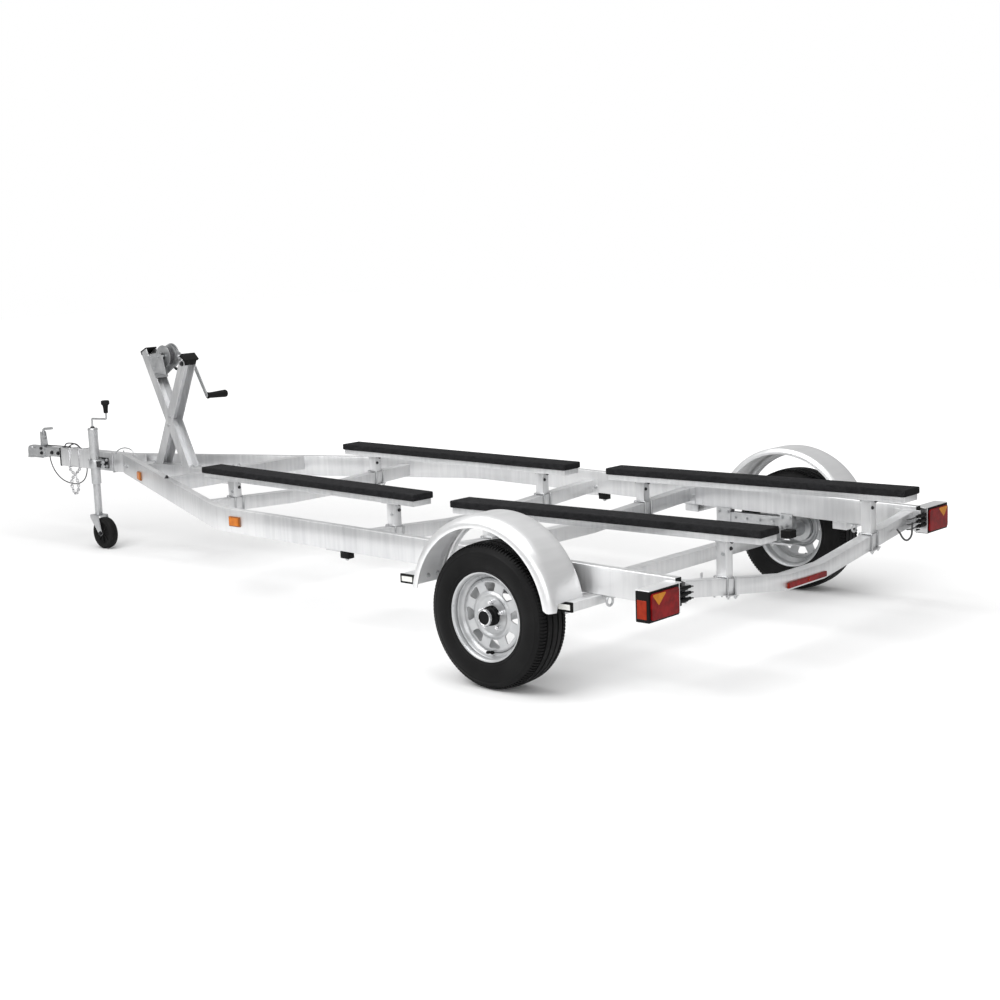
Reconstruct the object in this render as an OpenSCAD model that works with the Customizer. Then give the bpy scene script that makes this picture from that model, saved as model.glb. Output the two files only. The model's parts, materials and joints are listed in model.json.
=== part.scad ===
// Boat trailer: welded V-nose frame on one axle, four carpeted bunks, winch post and jockey wheel.
// X points forward to the coupler, Y to the left, Z up. Lengths along X are given from the axle.

/* [Frame] */
// Axle to the tip of the coupler
coupler_reach = 5190; // [4700:10:6300]
// Axle back to the rear end of the side rails
rail_overhang = 795; // [600:5:1000]
// Width over the outside of the side rails
frame_w = 2000; // [1650:10:2400]
// Width of a side rail
rail_w = 40; // [30:1:60]
// Height of a side rail
rail_h = 120; // [90:1:150]
// Height of the rails' top at their rear end
rail_top_rear = 524; // [480:1:640]
// Rise of the straight part of the rails, per metre
main_rise = 19.3; // [0:0.1:30]
// Rise of the nose of the rails, per metre
nose_rise = 9.5; // [0:0.1:30]
// Axle to the corner where the rails turn inward
bend_x = 2055; // [1700:5:2450]
// Radius of the outside of the bend
bend_r = 500; // [300:10:900]
// Width of the drawbar
drawbar_w = 80; // [60:1:100]
// Height of the drawbar
drawbar_h = 115; // [90:1:140]
// Length of a cross-member along the trailer
member_d = 60; // [50:1:80]
// Height of a cross-member
member_h = 70; // [56:1:84]

/* [Wheels and axle] */
// Radius of a road tyre
tyre_r = 315; // [280:1:340]
// Width of a road tyre
tyre_w = 195; // [165:1:225]
// Radius of a road wheel's rim lip
rim_r = 195; // [165:1:210]
// Width of a road wheel's rim over its lips
rim_w = 165; // [140:1:180]
// Gap between the side rail and the tyre
tyre_gap = 78; // [60:1:120]
// Side of the square axle beam
beam_s = 65; // [50:1:75]
// Radius of the stub axle in the hub
spindle_r = 18; // [14:0.5:20]
// Inner radius of a mudguard
guard_r = 389; // [365:1:425]

/* [Bunks] */
// Width of a bunk's carpeted board
pad_w = 137; // [110:1:165]
// Thickness of a bunk's carpeted board
pad_h = 33; // [27:1:45]
// Width of the bearer under a board
bearer_w = 118; // [95:1:140]
// Height of the bearer under a board
bearer_h = 28; // [23:1:40]
// Side of a square bunk post
post_s = 50; // [40:1:58]

/* [Winch post] */
// Width of the two post legs across the trailer
leg_w = 80; // [66:1:96]
// Depth of a post leg
leg_d = 58; // [48:1:66]
// Wall of a post leg
leg_t = 5; // [4:0.5:6]
// Radius of the winch's drum gear
gear_r = 75; // [62:1:90]
// Radius of the winch's pinion
pinion_r = 15; // [12:1:18]
// Length of the winch crank
crank_l = 270; // [225:1:330]

/* [Jockey wheel] */
// Radius of the jockey wheel
jockey_r = 99; // [82:1:119]
// Width of the jockey wheel
jockey_w = 54; // [44:1:65]
// Radius of the jockey wheel's outer tube
jack_r = 30; // [26:0.5:36]
// Radius of the jockey wheel's inner tube
stem_r = 23; // [18:0.5:24]
// Trail of the jockey wheel behind its stem
jockey_trail = 55; // [40:1:70]

/* [Coupler] */
// Radius of the tow ball that the coupler takes
ball_r = 25; // [20:0.5:30]

/* [Hidden] */
$fn = 64;
run = 0.05;             // running clearance of a shaft in its bore
eps = 1;                // overshoot of a cut

// Frame in plan and in height
half_w = frame_w / 2;
rail_in = half_w - rail_w;
bunk_tail = 977;        // axle back to the rear end of the bunks
axle_x = (bunk_tail - coupler_reach) / 2;
nose_x = coupler_reach - 1070;      // where the rails meet the drawbar
drawbar_front = coupler_reach - 400;
nose_angle = atan((half_w - drawbar_w / 2) / (nose_x - bend_x));
bend_start = bend_x - bend_r * tan(nose_angle / 2);
bend_end = [bend_start + bend_r * sin(nose_angle), half_w - bend_r * (1 - cos(nose_angle))];
nose_len = (nose_x - bend_end[0]) / cos(nose_angle) + rail_w;
rail_top_bend = rail_top_rear + (bend_x + rail_overhang) * main_rise / 1000;
function rail_top(x) = x < bend_x ? rail_top_rear + (x + rail_overhang) * main_rise / 1000
    : rail_top_bend + (x - bend_x) * nose_rise / 1000;
function rail_bottom(x) = rail_top(x) - rail_h;
function rail_in_y(x) = x < bend_x ? rail_in
    : half_w - (x - bend_x) * tan(nose_angle) - rail_w / cos(nose_angle);
drawbar_top = rail_top(nose_x);
drawbar_step = 42;      // how far the drawbar is lowered between the rails
drawbar_step_x = nose_x - 135;
post_base = drawbar_top - drawbar_step;

// Cross-members: rear face, height of the middle and height of the ends, from the rail's top
flat_w = 300;           // level middle part of a cranked member
rear_member = [-780, -139, -24];
axle_member = [530, -79, -35];
middle_member = [1185, -100, -51];
front_member = [2430, -69, -34];
nose_member_x = nose_x - 1080;
nose_member_h = 80;
rail_block_x = [1092, 1147];
rail_block_h = 34;

// Wheels
tyre_in_y = half_w + tyre_gap;
wheel_y = tyre_in_y + tyre_w / 2;
rim_t = 4;
disc_y = wheel_y + 37;              // outer face of the wheel disc
disc_t = 8;
hub_r = 40;
hub_in_y = half_w + 56;
hub_cap_y = wheel_y + tyre_w / 2 - 4;
spindle_end_y = disc_y - 30;
spindle_bore_y = spindle_end_y + 3;
beam_x = -10;
beam_z = tyre_r + 7;

// Mudguards and their outriggers
guard_t = 4;
guard_in_y = half_w + 55;
guard_out_y = wheel_y + tyre_w / 2 + 2;
guard_x = 24;
guard_z = tyre_r + 20;
outrigger_h = 38;
outrigger_y = [half_w - rail_w, half_w + 180];
outrigger_front_x = [478, 560];
outrigger_rear_x = [-415, -335];
lamp_t = 10;

// Bunks: [x, y, z] of the board's top at its rear and front end
rear_bunk = [[-bunk_tail, half_w - 410, 677], [748, half_w - 410, 664]];
front_bunk = [[1004, half_w - 431, 667.5], [2655, half_w - 476, 688]];
bearer_inset = 8;

// Winch post, from the foot of the legs on the drawbar
winch_leg_x = coupler_reach - 1692;
stop_leg_x = coupler_reach - 1430;
winch_lean = 25.9;
stop_lean = 25;
winch_leg_l = 775;
stop_leg_l = 687;
foot_t = 6;
drum_at = [-leg_d / 2 - gear_r - 12, 675];
gear_mesh = gear_r + pinion_r + 0.4;
pinion_at = drum_at + gear_mesh * [-cos(29), -sin(29)];
winch_y = 48;           // outside of the winch's side plates
plate_t = 4;
drum_shaft_r = 8;
crank_shaft_r = 9;
gear_y = [-62, -54];
drum_y = [-40, 8];      // outer sides of the drum's flanges
crank_y = -125;
grip_l = 150;
ear_r = 20;
stop_pin_r = 8;
stop_pivot = [stop_leg_x - stop_leg_l * sin(stop_lean), post_base + stop_leg_l * cos(stop_lean)];

// Jockey wheel
jockey_at = [coupler_reach - 860, drawbar_w / 2 + 60];
jack_z = [408, 746];
stem_top = 545;
fork_plate_z = 2 * jockey_r + 8;
fork_t = 5;
kingpin_r = 12;
kingpin_l = 60;
fork_in = jockey_w / 2 + 6;
crank_arm_l = 152;

// Coupler
ball_x = coupler_reach - 42;
ball_z = drawbar_top - 72;
shank_s = 56;

// Safety chain and breakaway cable: their lines, from the coupler's tip along X and the drawbar's top
// in Z, and the two straps that hold the chain's ends
strap_x = [-500, -602];
strap_t = 4;
strap_w = 6;
link_l = 28;
link_w = 20;
link_wire = 5;
link_pitch = 16.1;
chain_route = [[-500, 47, -118.6], [-516, 52, -131.6], [-540, 54, -144.6], [-564, 54, -160.6],
    [-583, 53, -188.6], [-592, 52, -220.6], [-587, 50, -252.6], [-570, 48, -276.6],
    [-548, 46, -287.6], [-526, 44, -279.6], [-509, 42, -257.6], [-500, 40, -228.6],
    [-502, 37, -200.6], [-517, 35, -180.6], [-540, 34, -164.6], [-562, 34, -149.6],
    [-582, 35, -135.6], [-600, 38, -122.6]];
cable_r = 3.5;
cable_sides = 8;
cable_route = [[-244, 15, -64], [-245, 15, -78.6], [-251, 15, -100.6], [-261, 15, -122.6],
    [-277, 15, -146.6], [-298, 15, -168.6], [-326, 15, -189.6], [-360, 15, -207.6],
    [-400, 15, -220.6], [-442, 15, -227.6], [-484, 15, -230.6], [-526, 15, -227.6],
    [-564, 15, -218.6], [-594, 15, -204.6], [-618, 15, -185.6], [-634, 15, -162.6],
    [-644, 15, -138.6], [-648, 15, -115]];

module at_axle() {
    translate([axle_x, 0, 0]) children();
}

module both_sides() {
    children();
    mirror([0, 1, 0]) children();
}

// The coupler's tip, at the height of the drawbar's top
module at_tip() {
    at_axle() translate([coupler_reach, 0, drawbar_top]) children();
}

// A prism along Y from a side-view outline in X and Z
module side_prism(y0, y1) {
    translate([0, y1, 0]) rotate([90, 0, 0]) linear_extrude(y1 - y0) children();
}

// A block that hangs under the sloping rail, from x0 to x1
module under_rail(x0, x1, y0, y1, h) {
    side_prism(y0, y1) polygon([[x0, rail_bottom(x0)], [x1, rail_bottom(x1)],
        [x1, rail_bottom(x1) - h], [x0, rail_bottom(x0) - h]]);
}

// ---- Frame ----

// One side of a rail in plan, at distance d inside its outer face
function rail_line(d) = concat([[-rail_overhang, half_w - d]],
    [for (a = [0 : nose_angle / 10 : nose_angle + 0.01])
        [bend_start + (bend_r - d) * sin(a), half_w - bend_r + (bend_r - d) * cos(a)]],
    [[bend_end[0] - d * sin(nose_angle) + nose_len * cos(nose_angle),
        bend_end[1] - d * cos(nose_angle) - nose_len * sin(nose_angle)]]);

module rail() {
    outer = rail_line(0);
    inner = rail_line(rail_w);
    intersection() {
        linear_extrude(rail_top(nose_x) + 100)
            polygon(concat(outer, [for (i = [len(inner) - 1 : -1 : 0]) inner[i]]));
        side_prism(drawbar_w / 2, frame_w) polygon([
            [-rail_overhang, rail_bottom(-rail_overhang)], [bend_x, rail_bottom(bend_x)],
            [nose_x + 100, rail_bottom(nose_x + 100)], [nose_x + 100, rail_top(nose_x + 100)],
            [bend_x, rail_top(bend_x)], [-rail_overhang, rail_top(-rail_overhang)]]);
    }
}

// The space between the rails' inner faces
module between_rails() {
    linear_extrude(rail_top(nose_x) + 100) polygon([
        [-rail_overhang - 100, -rail_in], [bend_start, -rail_in], [bend_end[0], -rail_in_y(bend_end[0])],
        [nose_x, -rail_in_y(nose_x)], [nose_x, rail_in_y(nose_x)], [bend_end[0], rail_in_y(bend_end[0])],
        [bend_start, rail_in], [-rail_overhang - 100, rail_in]]);
}

// A cranked cross-member: level in the middle, rising to the rails at both ends
module cranked_member(m) {
    base = rail_top(m[0]);
    intersection() {
        translate([m[0], 0, 0]) rotate([90, 0, 90]) linear_extrude(member_d) polygon([
            [-rail_in, base + m[2]], [-flat_w / 2, base + m[1]],
            [flat_w / 2, base + m[1]], [rail_in, base + m[2]],
            [rail_in, base + m[2] - member_h], [flat_w / 2, base + m[1] - member_h],
            [-flat_w / 2, base + m[1] - member_h], [-rail_in, base + m[2] - member_h]]);
        between_rails();
    }
}

module left_rail() {
    color("silver") at_axle() rail();
}

module right_rail() {
    color("silver") at_axle() mirror([0, 1, 0]) rail();
}

module drawbar() {
    rear = nose_member_x + member_d;
    color("silver") at_axle() side_prism(-drawbar_w / 2, drawbar_w / 2) polygon([
        [rear, drawbar_top - drawbar_h], [drawbar_front, drawbar_top - drawbar_h],
        [drawbar_front, drawbar_top], [drawbar_step_x, drawbar_top],
        [drawbar_step_x, post_base], [rear, post_base]]);
}

module nose_crossmember() {
    color("silver") at_axle() intersection() {
        translate([nose_member_x, -half_w, rail_top(nose_member_x) - nose_member_h])
            cube([member_d, frame_w, nose_member_h]);
        between_rails();
    }
}

module front_crossmember() {
    color("silver") at_axle() cranked_member(front_member);
}

module middle_crossmember() {
    color("silver") at_axle() cranked_member(middle_member);
}

module axle_crossmember() {
    color("silver") at_axle() cranked_member(axle_member);
}

module rear_crossmember() {
    color("silver") at_axle() cranked_member(rear_member);
}

module rail_blocks() {
    color("#202020") at_axle() both_sides()
        under_rail(rail_block_x[0], rail_block_x[1], rail_in, half_w, rail_block_h);
}

module mudguard_outriggers() {
    color("silver") at_axle() both_sides() {
        under_rail(outrigger_front_x[0], outrigger_front_x[1], outrigger_y[0], outrigger_y[1], outrigger_h);
        under_rail(outrigger_rear_x[0], outrigger_rear_x[1], outrigger_y[0], outrigger_y[1], outrigger_h);
    }
}

module tie_down_eyes() {
    eye_x = outrigger_rear_x[0] - 31;
    eye_r = 20;
    wire_r = 5;
    eye_y = half_w - rail_w / 2;
    color("silver") at_axle() both_sides() {
        under_rail(eye_x - 30, eye_x + 30, eye_y - 15, eye_y + 15, 6);
        difference() {
            translate([eye_x, eye_y, rail_bottom(eye_x) - 4 - eye_r]) rotate([0, 90, 0])
                rotate_extrude() translate([eye_r, 0]) circle(wire_r, $fn = 24);
            translate([eye_x - 60, eye_y - 60, rail_bottom(eye_x - 60) - 2]) cube([120, 120, 60]);
        }
    }
}

// ---- Axle and wheels ----

module axle_beam() {
    color("silver") at_axle() {
        translate([beam_x - beam_s / 2, -half_w, beam_z - beam_s / 2]) cube([beam_s, frame_w, beam_s]);
        translate([0, 0, tyre_r]) rotate([90, 0, 0])
            cylinder(h = 2 * spindle_end_y, r = spindle_r, center = true);
        translate([0, 0, tyre_r]) rotate([90, 0, 0])
            cylinder(h = 2 * (hub_in_y - 6), r = 1.6 * spindle_r, center = true);
    }
}

// Hanger, arm and clamp plate that carry the axle under a rail
module axle_mount() {
    beam_top = beam_z + beam_s / 2;
    hanger_x = [270, 350];
    clamp_x = [-105, -38];
    inner = rail_in - 6;
    arm_h = 54;
    side_prism(inner, half_w - 4) polygon([
        [clamp_x[0], beam_top], [clamp_x[0], rail_bottom(clamp_x[0])],
        [clamp_x[1], rail_bottom(clamp_x[1])], [clamp_x[1], beam_top + arm_h],
        [hanger_x[0], beam_top + arm_h], [hanger_x[0], rail_bottom(hanger_x[0])],
        [hanger_x[1], rail_bottom(hanger_x[1])], [hanger_x[1], beam_top - 60],
        [hanger_x[0], beam_top - 60], [hanger_x[0], beam_top]]);
}

module axle_mounts() {
    color("gainsboro") at_axle() both_sides() axle_mount();
}

// Turns a profile drawn with X as radius and Y as width about the left wheel's axle line
module wheel_turn() {
    translate([0, 0, tyre_r]) rotate([-90, 0, 0]) rotate_extrude($fn = 96) children();
}

module hub() {
    wheel_turn() polygon([
        [0, spindle_bore_y], [spindle_r + run, spindle_bore_y], [spindle_r + run, hub_in_y],
        [hub_r, hub_in_y], [hub_r, disc_y - disc_t - 12], [70, disc_y - disc_t - 12],
        [70, disc_y - disc_t], [hub_r, disc_y - disc_t], [hub_r, disc_y + 10], [31, disc_y + 22],
        [31, hub_cap_y - 3], [28, hub_cap_y], [0, hub_cap_y]]);
}

module rim() {
    lip_in = wheel_y - rim_w / 2;
    lip_out = wheel_y + rim_w / 2;
    seat_r = rim_r - 17;
    well_r = rim_r - 37;
    windows = 8;
    difference() {
        wheel_turn() polygon([
            [rim_r, lip_in], [rim_r, lip_in + rim_t], [seat_r, lip_in + 9], [seat_r, lip_in + 40],
            [well_r, lip_in + 54], [well_r, lip_in + 84], [seat_r, lip_in + 98], [seat_r, lip_out - 9],
            [rim_r, lip_out - rim_t], [rim_r, lip_out], [seat_r - rim_t, lip_out - 6],
            [seat_r - rim_t, lip_in + 100], [well_r - rim_t, lip_in + 86 + 0.01],
            [well_r - rim_t - 4, disc_y], [105, disc_y + 6], [80, disc_y], [hub_r + 0.3, disc_y],
            [hub_r + 0.3, disc_y - disc_t], [80, disc_y - disc_t], [105, disc_y - disc_t + 5],
            [well_r - rim_t - 12, disc_y - disc_t], [well_r - rim_t, lip_in + 70],
            [well_r - rim_t, lip_in + 52], [seat_r - rim_t, lip_in + 38], [seat_r - rim_t, lip_in + 6]]);
        for (i = [0 : windows - 1])
            translate([0, 0, tyre_r]) rotate([0, i * 360 / windows + 3, 0])
                translate([0, disc_y - 40, 122])
                rotate([-90, 0, 0]) union() {
                    translate([-15, 0, 0]) cylinder(h = 80, r = 13);
                    translate([15, 0, 0]) cylinder(h = 80, r = 13);
                    translate([-15, -13, 0]) cube([30, 26, 80]);
                }
    }
}

module tyre() {
    bead_r = rim_r - 17;
    lip_gap = rim_w / 2 - 10;
    tread_w = tyre_w / 2 - 22;
    wheel_turn() translate([0, wheel_y]) polygon(concat(
        [[bead_r, -lip_gap + 12], [bead_r, -lip_gap], [rim_r - 8, -lip_gap + 3], [rim_r + 4, -rim_w / 2 + 1]],
        [for (a = [-50 : 20 : 30]) [(rim_r + tyre_r) / 2 - 4 + 50 * sin(a), -tyre_w / 2 + 25 * (1 - cos(a))]],
        [[tyre_r - 10, -tread_w - 8], [tyre_r - 2, -tread_w + 4], [tyre_r, 0], [tyre_r - 2, tread_w - 4],
            [tyre_r - 10, tread_w + 8]],
        [for (a = [30 : -20 : -50]) [(rim_r + tyre_r) / 2 - 4 + 50 * sin(a), tyre_w / 2 - 25 * (1 - cos(a))]],
        [[rim_r + 4, rim_w / 2 - 1], [rim_r - 8, lip_gap - 3], [bead_r, lip_gap], [bead_r, lip_gap - 12]],
        [[rim_r + 10, 60], [tyre_r - 30, tread_w], [tyre_r - 16, 0],
            [tyre_r - 30, -tread_w], [rim_r + 10, -60]]));
}

module left_hub() {
    color("dimgray") at_axle() hub();
}

module right_hub() {
    color("dimgray") at_axle() mirror([0, 1, 0]) hub();
}

module left_rim() {
    color("silver") at_axle() rim();
}

module right_rim() {
    color("silver") at_axle() mirror([0, 1, 0]) rim();
}

module left_tyre() {
    color("#222222") at_axle() tyre();
}

module right_tyre() {
    color("#222222") at_axle() mirror([0, 1, 0]) tyre();
}

// A mudguard is a rolled sheet with a rounded outer edge. It is cut away over the rear outrigger,
// and a stay plate ties its front end to the front outrigger.
module mudguard() {
    crown = guard_r + 20;
    bead = crown - 50;
    start_a = 9.5;
    end_a = 174;
    stay_z = guard_z + 71;
    difference() {
        translate([guard_x, 0, guard_z]) rotate([-90, 0, 0]) rotate([0, 0, -end_a])
            rotate_extrude(angle = end_a - start_a, $fn = 128) polygon([
                [crown - 3, guard_in_y], [crown, guard_in_y + 16], [crown, guard_out_y - 60],
                [crown - 2, guard_out_y - 30], [crown - 9, guard_out_y - 12], [crown - 18, guard_out_y - 3],
                [crown - 30, guard_out_y], [bead, guard_out_y], [bead, guard_out_y - guard_t],
                [crown - 30, guard_out_y - guard_t], [crown - 20, guard_out_y - guard_t - 3],
                [crown - 12, guard_out_y - 15], [crown - guard_t - 2, guard_out_y - 32],
                [crown - guard_t, guard_out_y - 60], [crown - guard_t, guard_in_y + 16],
                [crown - 3 - guard_t, guard_in_y]]);
        side_prism(guard_in_y - 20, outrigger_y[1] + lamp_t + 3) polygon([
            [outrigger_rear_x[0] - 30, rail_bottom(outrigger_rear_x[0] - 30)],
            [outrigger_rear_x[1] + 30, rail_bottom(outrigger_rear_x[1] + 30)],
            [outrigger_rear_x[1] + 30, 0], [outrigger_rear_x[0] - 30, 0]]);
    }
    translate([guard_x + crown - 8, guard_in_y + 20, stay_z])
        cube([outrigger_front_x[0] - guard_x - crown + 8, outrigger_y[1] - guard_in_y - 20, 5]);
}

module left_mudguard() {
    color("gainsboro") at_axle() mudguard();
}

module right_mudguard() {
    color("gainsboro") at_axle() mirror([0, 1, 0]) mudguard();
}

// ---- Bunks ----

function bunk_angle(b) = atan2(b[1][1] - b[0][1], b[1][0] - b[0][0]);
function bunk_pitch(b) = atan2(b[1][2] - b[0][2], b[1][0] - b[0][0]);
function bunk_len(b) = norm(b[1] - b[0]);
function bunk_at(b, x) = b[0] + (b[1] - b[0]) * (x - b[0][0]) / (b[1][0] - b[0][0]);

// A straight bar along a bunk, its top at depth below the board's top
module bunk_bar(b, w, depth, h, inset) {
    translate(b[0]) rotate([0, -bunk_pitch(b), bunk_angle(b)])
        translate([inset, -w / 2, -depth - h]) cube([bunk_len(b) - 2 * inset, w, h]);
}

module bunk_pad(b) {
    bunk_bar(b, pad_w, 0, pad_h, 0);
}

module bunk_bearer(b) {
    bunk_bar(b, bearer_w, pad_h, bearer_h, bearer_inset);
}

// A post from a cross-member up to the bearer
module bunk_post(b, m) {
    at = bunk_at(b, m[0] + member_d / 2);
    rise = (m[2] - m[1]) * (at[1] - flat_w / 2) / (rail_in - flat_w / 2);
    low = rail_top(m[0]) + m[1] + rise - member_h / 2;
    high = at[2] - pad_h - bearer_h / 2;
    difference() {
        translate([at[0] - post_s / 2, at[1] - post_s / 2, low]) cube([post_s, post_s, high - low]);
        cranked_member(m);
        bunk_bearer(b);
    }
}

module left_rear_bunk() {
    color("#303030") at_axle() bunk_pad(rear_bunk);
}

module right_rear_bunk() {
    color("#303030") at_axle() mirror([0, 1, 0]) bunk_pad(rear_bunk);
}

module left_front_bunk() {
    color("#303030") at_axle() bunk_pad(front_bunk);
}

module right_front_bunk() {
    color("#303030") at_axle() mirror([0, 1, 0]) bunk_pad(front_bunk);
}

module rear_bunk_bearers() {
    color("gainsboro") at_axle() both_sides() bunk_bearer(rear_bunk);
}

module front_bunk_bearers() {
    color("gainsboro") at_axle() both_sides() bunk_bearer(front_bunk);
}

module rear_bunk_posts() {
    color("silver") at_axle() both_sides() {
        bunk_post(rear_bunk, rear_member);
        bunk_post(rear_bunk, axle_member);
    }
}

module front_bunk_posts() {
    color("silver") at_axle() both_sides() {
        bunk_post(front_bunk, middle_member);
        bunk_post(front_bunk, front_member);
    }
}

// ---- Winch post and winch ----

// Places children in a leg's own frame: its foot on the drawbar, Z along the leg
module on_leg(x, lean) {
    translate([x, 0, post_base]) rotate([0, lean, 0]) children();
}

// Side view of a leg, with its foot cut level: a strip from depth d0 to d1 behind its front face
module leg_side(x, lean, length, d0, d1) {
    intersection() {
        translate([x, post_base]) rotate(-lean) translate([leg_d / 2 - d1, -leg_d])
            square([d1 - d0, length + leg_d]);
        translate([x - length, post_base]) square(2 * length);
    }
}

// Side view of both crossed legs
module legs_side(d0, d1) {
    leg_side(winch_leg_x, winch_lean, winch_leg_l, d0, d1);
    leg_side(stop_leg_x, -stop_lean, stop_leg_l, d0, d1);
}

// Two channels, open to the rear, crossed on a foot plate
module winch_post() {
    color("silver") at_axle() {
        for (y = [-leg_w / 2, leg_w / 2 - leg_t])
            side_prism(y, y + leg_t) difference() {
                union() {
                    legs_side(0, leg_d);
                    translate(stop_pivot) circle(ear_r);
                }
                translate(stop_pivot) circle(stop_pin_r);
            }
        side_prism(eps - leg_w / 2, leg_w / 2 - eps) legs_side(0, leg_t);
        translate([winch_leg_x - 60, -drawbar_w / 2, post_base])
            cube([stop_leg_x - winch_leg_x + 120, drawbar_w, foot_t]);
    }
}

// A side plate of the winch, with the bore of the drum's shaft
module winch_plate(y) {
    difference() {
        side_prism(y, y + plate_t) children();
        shaft_hole(drum_at, drum_shaft_r, y, y + plate_t);
    }
}

module shaft_hole(at, r, y0, y1) {
    translate([at[0], y1 + eps, at[1]]) rotate([90, 0, 0]) cylinder(h = y1 - y0 + 2 * eps, r = r + run);
}

module winch_frame() {
    rear = -leg_d / 2;
    boss_y = 20 - winch_y;
    color("gainsboro") at_axle() on_leg(winch_leg_x, winch_lean) {
        translate([rear - plate_t, -winch_y, drum_at[1] - 100]) cube([plate_t, 2 * winch_y, 150]);
        winch_plate(winch_y - plate_t) polygon([
            [rear - plate_t, drum_at[1] - 64], [rear - plate_t, drum_at[1] + 42],
            [drum_at[0] + 58, drum_at[1] + 46], [drum_at[0], drum_at[1] + 26],
            [drum_at[0] - 42, drum_at[1] - 8], [drum_at[0] - 18, drum_at[1] - 126]]);
        difference() {
            union() {
                winch_plate(-winch_y) polygon([
                    [rear - plate_t, drum_at[1] - 85], [rear - plate_t, drum_at[1] + 50],
                    [drum_at[0], drum_at[1] + 60], [drum_at[0] - 40, drum_at[1] + 50],
                    [pinion_at[0] - 22, pinion_at[1] + 20], [pinion_at[0] - 22, pinion_at[1] - 18],
                    [pinion_at[0] + 10, pinion_at[1] - 26]]);
                translate([pinion_at[0], boss_y, pinion_at[1]]) rotate([90, 0, 0])
                    cylinder(h = boss_y + winch_y - eps, r = crank_shaft_r + 5);
            }
            shaft_hole(pinion_at, crank_shaft_r, -winch_y, boss_y);
        }
    }
}

module winch_drum() {
    flange_r = gear_r - 8;
    flange_t = 3;
    core_r = 22;
    color("dimgray") at_axle() on_leg(winch_leg_x, winch_lean)
        translate([drum_at[0], 0, drum_at[1]]) rotate([-90, 0, 0]) rotate_extrude(convexity = 4) polygon([
            [0, gear_y[0] - 4], [drum_shaft_r + 4, gear_y[0] - 4], [drum_shaft_r + 4, gear_y[0]],
            [gear_r, gear_y[0]], [gear_r, gear_y[1]], [drum_shaft_r, gear_y[1]],
            [drum_shaft_r, drum_y[0]], [flange_r, drum_y[0]], [flange_r, drum_y[0] + flange_t],
            [core_r, drum_y[0] + flange_t], [core_r, drum_y[1] - flange_t], [flange_r, drum_y[1] - flange_t],
            [flange_r, drum_y[1]], [drum_shaft_r, drum_y[1]], [drum_shaft_r, winch_y + 5], [0, winch_y + 5]]);
}

module winch_crank() {
    arm_t = 6;
    arm_w = 26;
    swing = 209.2 - winch_lean;
    shaft_end = 24 - winch_y;
    color("gainsboro") at_axle() on_leg(winch_leg_x, winch_lean)
        translate([pinion_at[0], 0, pinion_at[1]]) {
            translate([0, shaft_end, 0]) rotate([90, 0, 0])
                cylinder(h = shaft_end - crank_y + arm_t / 2, r = crank_shaft_r);
            translate([0, gear_y[1], 0]) rotate([90, 0, 0]) cylinder(h = gear_y[1] - gear_y[0], r = pinion_r);
            rotate([0, swing, 0]) {
                translate([0, crank_y, 0]) rotate([90, 0, 0]) cylinder(h = arm_t, r = arm_w / 2);
                translate([-arm_w / 2, crank_y - arm_t, 0]) cube([arm_w, arm_t, crank_l]);
                translate([0, crank_y, crank_l]) rotate([90, 0, 0]) cylinder(h = arm_t, r = arm_w / 2);
                translate([0, crank_y, crank_l]) rotate([90, 0, 0]) cylinder(h = grip_l + arm_t, r = 8);
                translate([0, crank_y - arm_t, crank_l]) rotate([90, 0, 0])
                    cylinder(h = grip_l, r1 = 19, r2 = 23);
            }
        }
}

// Rubber block that the bow rests against, pinned between the ears of the rear leg
module bow_stop() {
    color("#202020") at_axle() {
        side_prism(-50, 50) translate(stop_pivot)
            polygon([[-11, 60], [-49, 24], [-38, 14], [-25, 24], [12, 44]]);
        side_prism(-leg_w / 2 + leg_t + 0.5, leg_w / 2 - leg_t - 0.5) translate(stop_pivot)
            polygon([[-49, 24], [-36, -6], [-14, -11], [10, -8], [8, 14], [-10, 32], [-25, 24]]);
        side_prism(-leg_w / 2, leg_w / 2) translate(stop_pivot) circle(stop_pin_r);
    }
}

// ---- Jockey wheel ----

module at_jockey() {
    translate([jockey_at[0], jockey_at[1], 0]) children();
}

module jockey_clamp() {
    ring_r = jack_r + 9;
    low = drawbar_top - 92;
    high = drawbar_top - 38;
    color("gainsboro") at_axle() difference() {
        union() {
            at_jockey() translate([0, 0, low]) cylinder(h = high - low, r = ring_r);
            translate([jockey_at[0] - 24, drawbar_w / 2, low])
                cube([48, jockey_at[1] - drawbar_w / 2, high - low]);
            translate([jockey_at[0] - 60, drawbar_w / 2, low - 8]) cube([120, 8, high - low + 16]);
            translate([jockey_at[0] - 80, jockey_at[1] - 14, low + 6]) cube([60, 28, high - low - 12]);
        }
        at_jockey() translate([0, 0, low - eps]) cylinder(h = high - low + 2 * eps, r = jack_r + run);
    }
}

module jockey_outer_tube() {
    color("darkgray") at_axle() at_jockey() difference() {
        translate([0, 0, jack_z[0]]) cylinder(h = jack_z[1] - jack_z[0], r = jack_r);
        translate([0, 0, jack_z[0] - eps]) cylinder(h = jack_z[1] - jack_z[0] - 6 + eps, r = stem_r + run);
    }
}

module jockey_inner_tube() {
    color("silver") at_axle() at_jockey() difference() {
        translate([0, 0, fork_plate_z + fork_t + 0.5])
            cylinder(h = stem_top - fork_plate_z - fork_t - 0.5, r = stem_r);
        translate([0, 0, fork_plate_z]) cylinder(h = kingpin_l + fork_t + 2, r = kingpin_r + run);
    }
}

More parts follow.
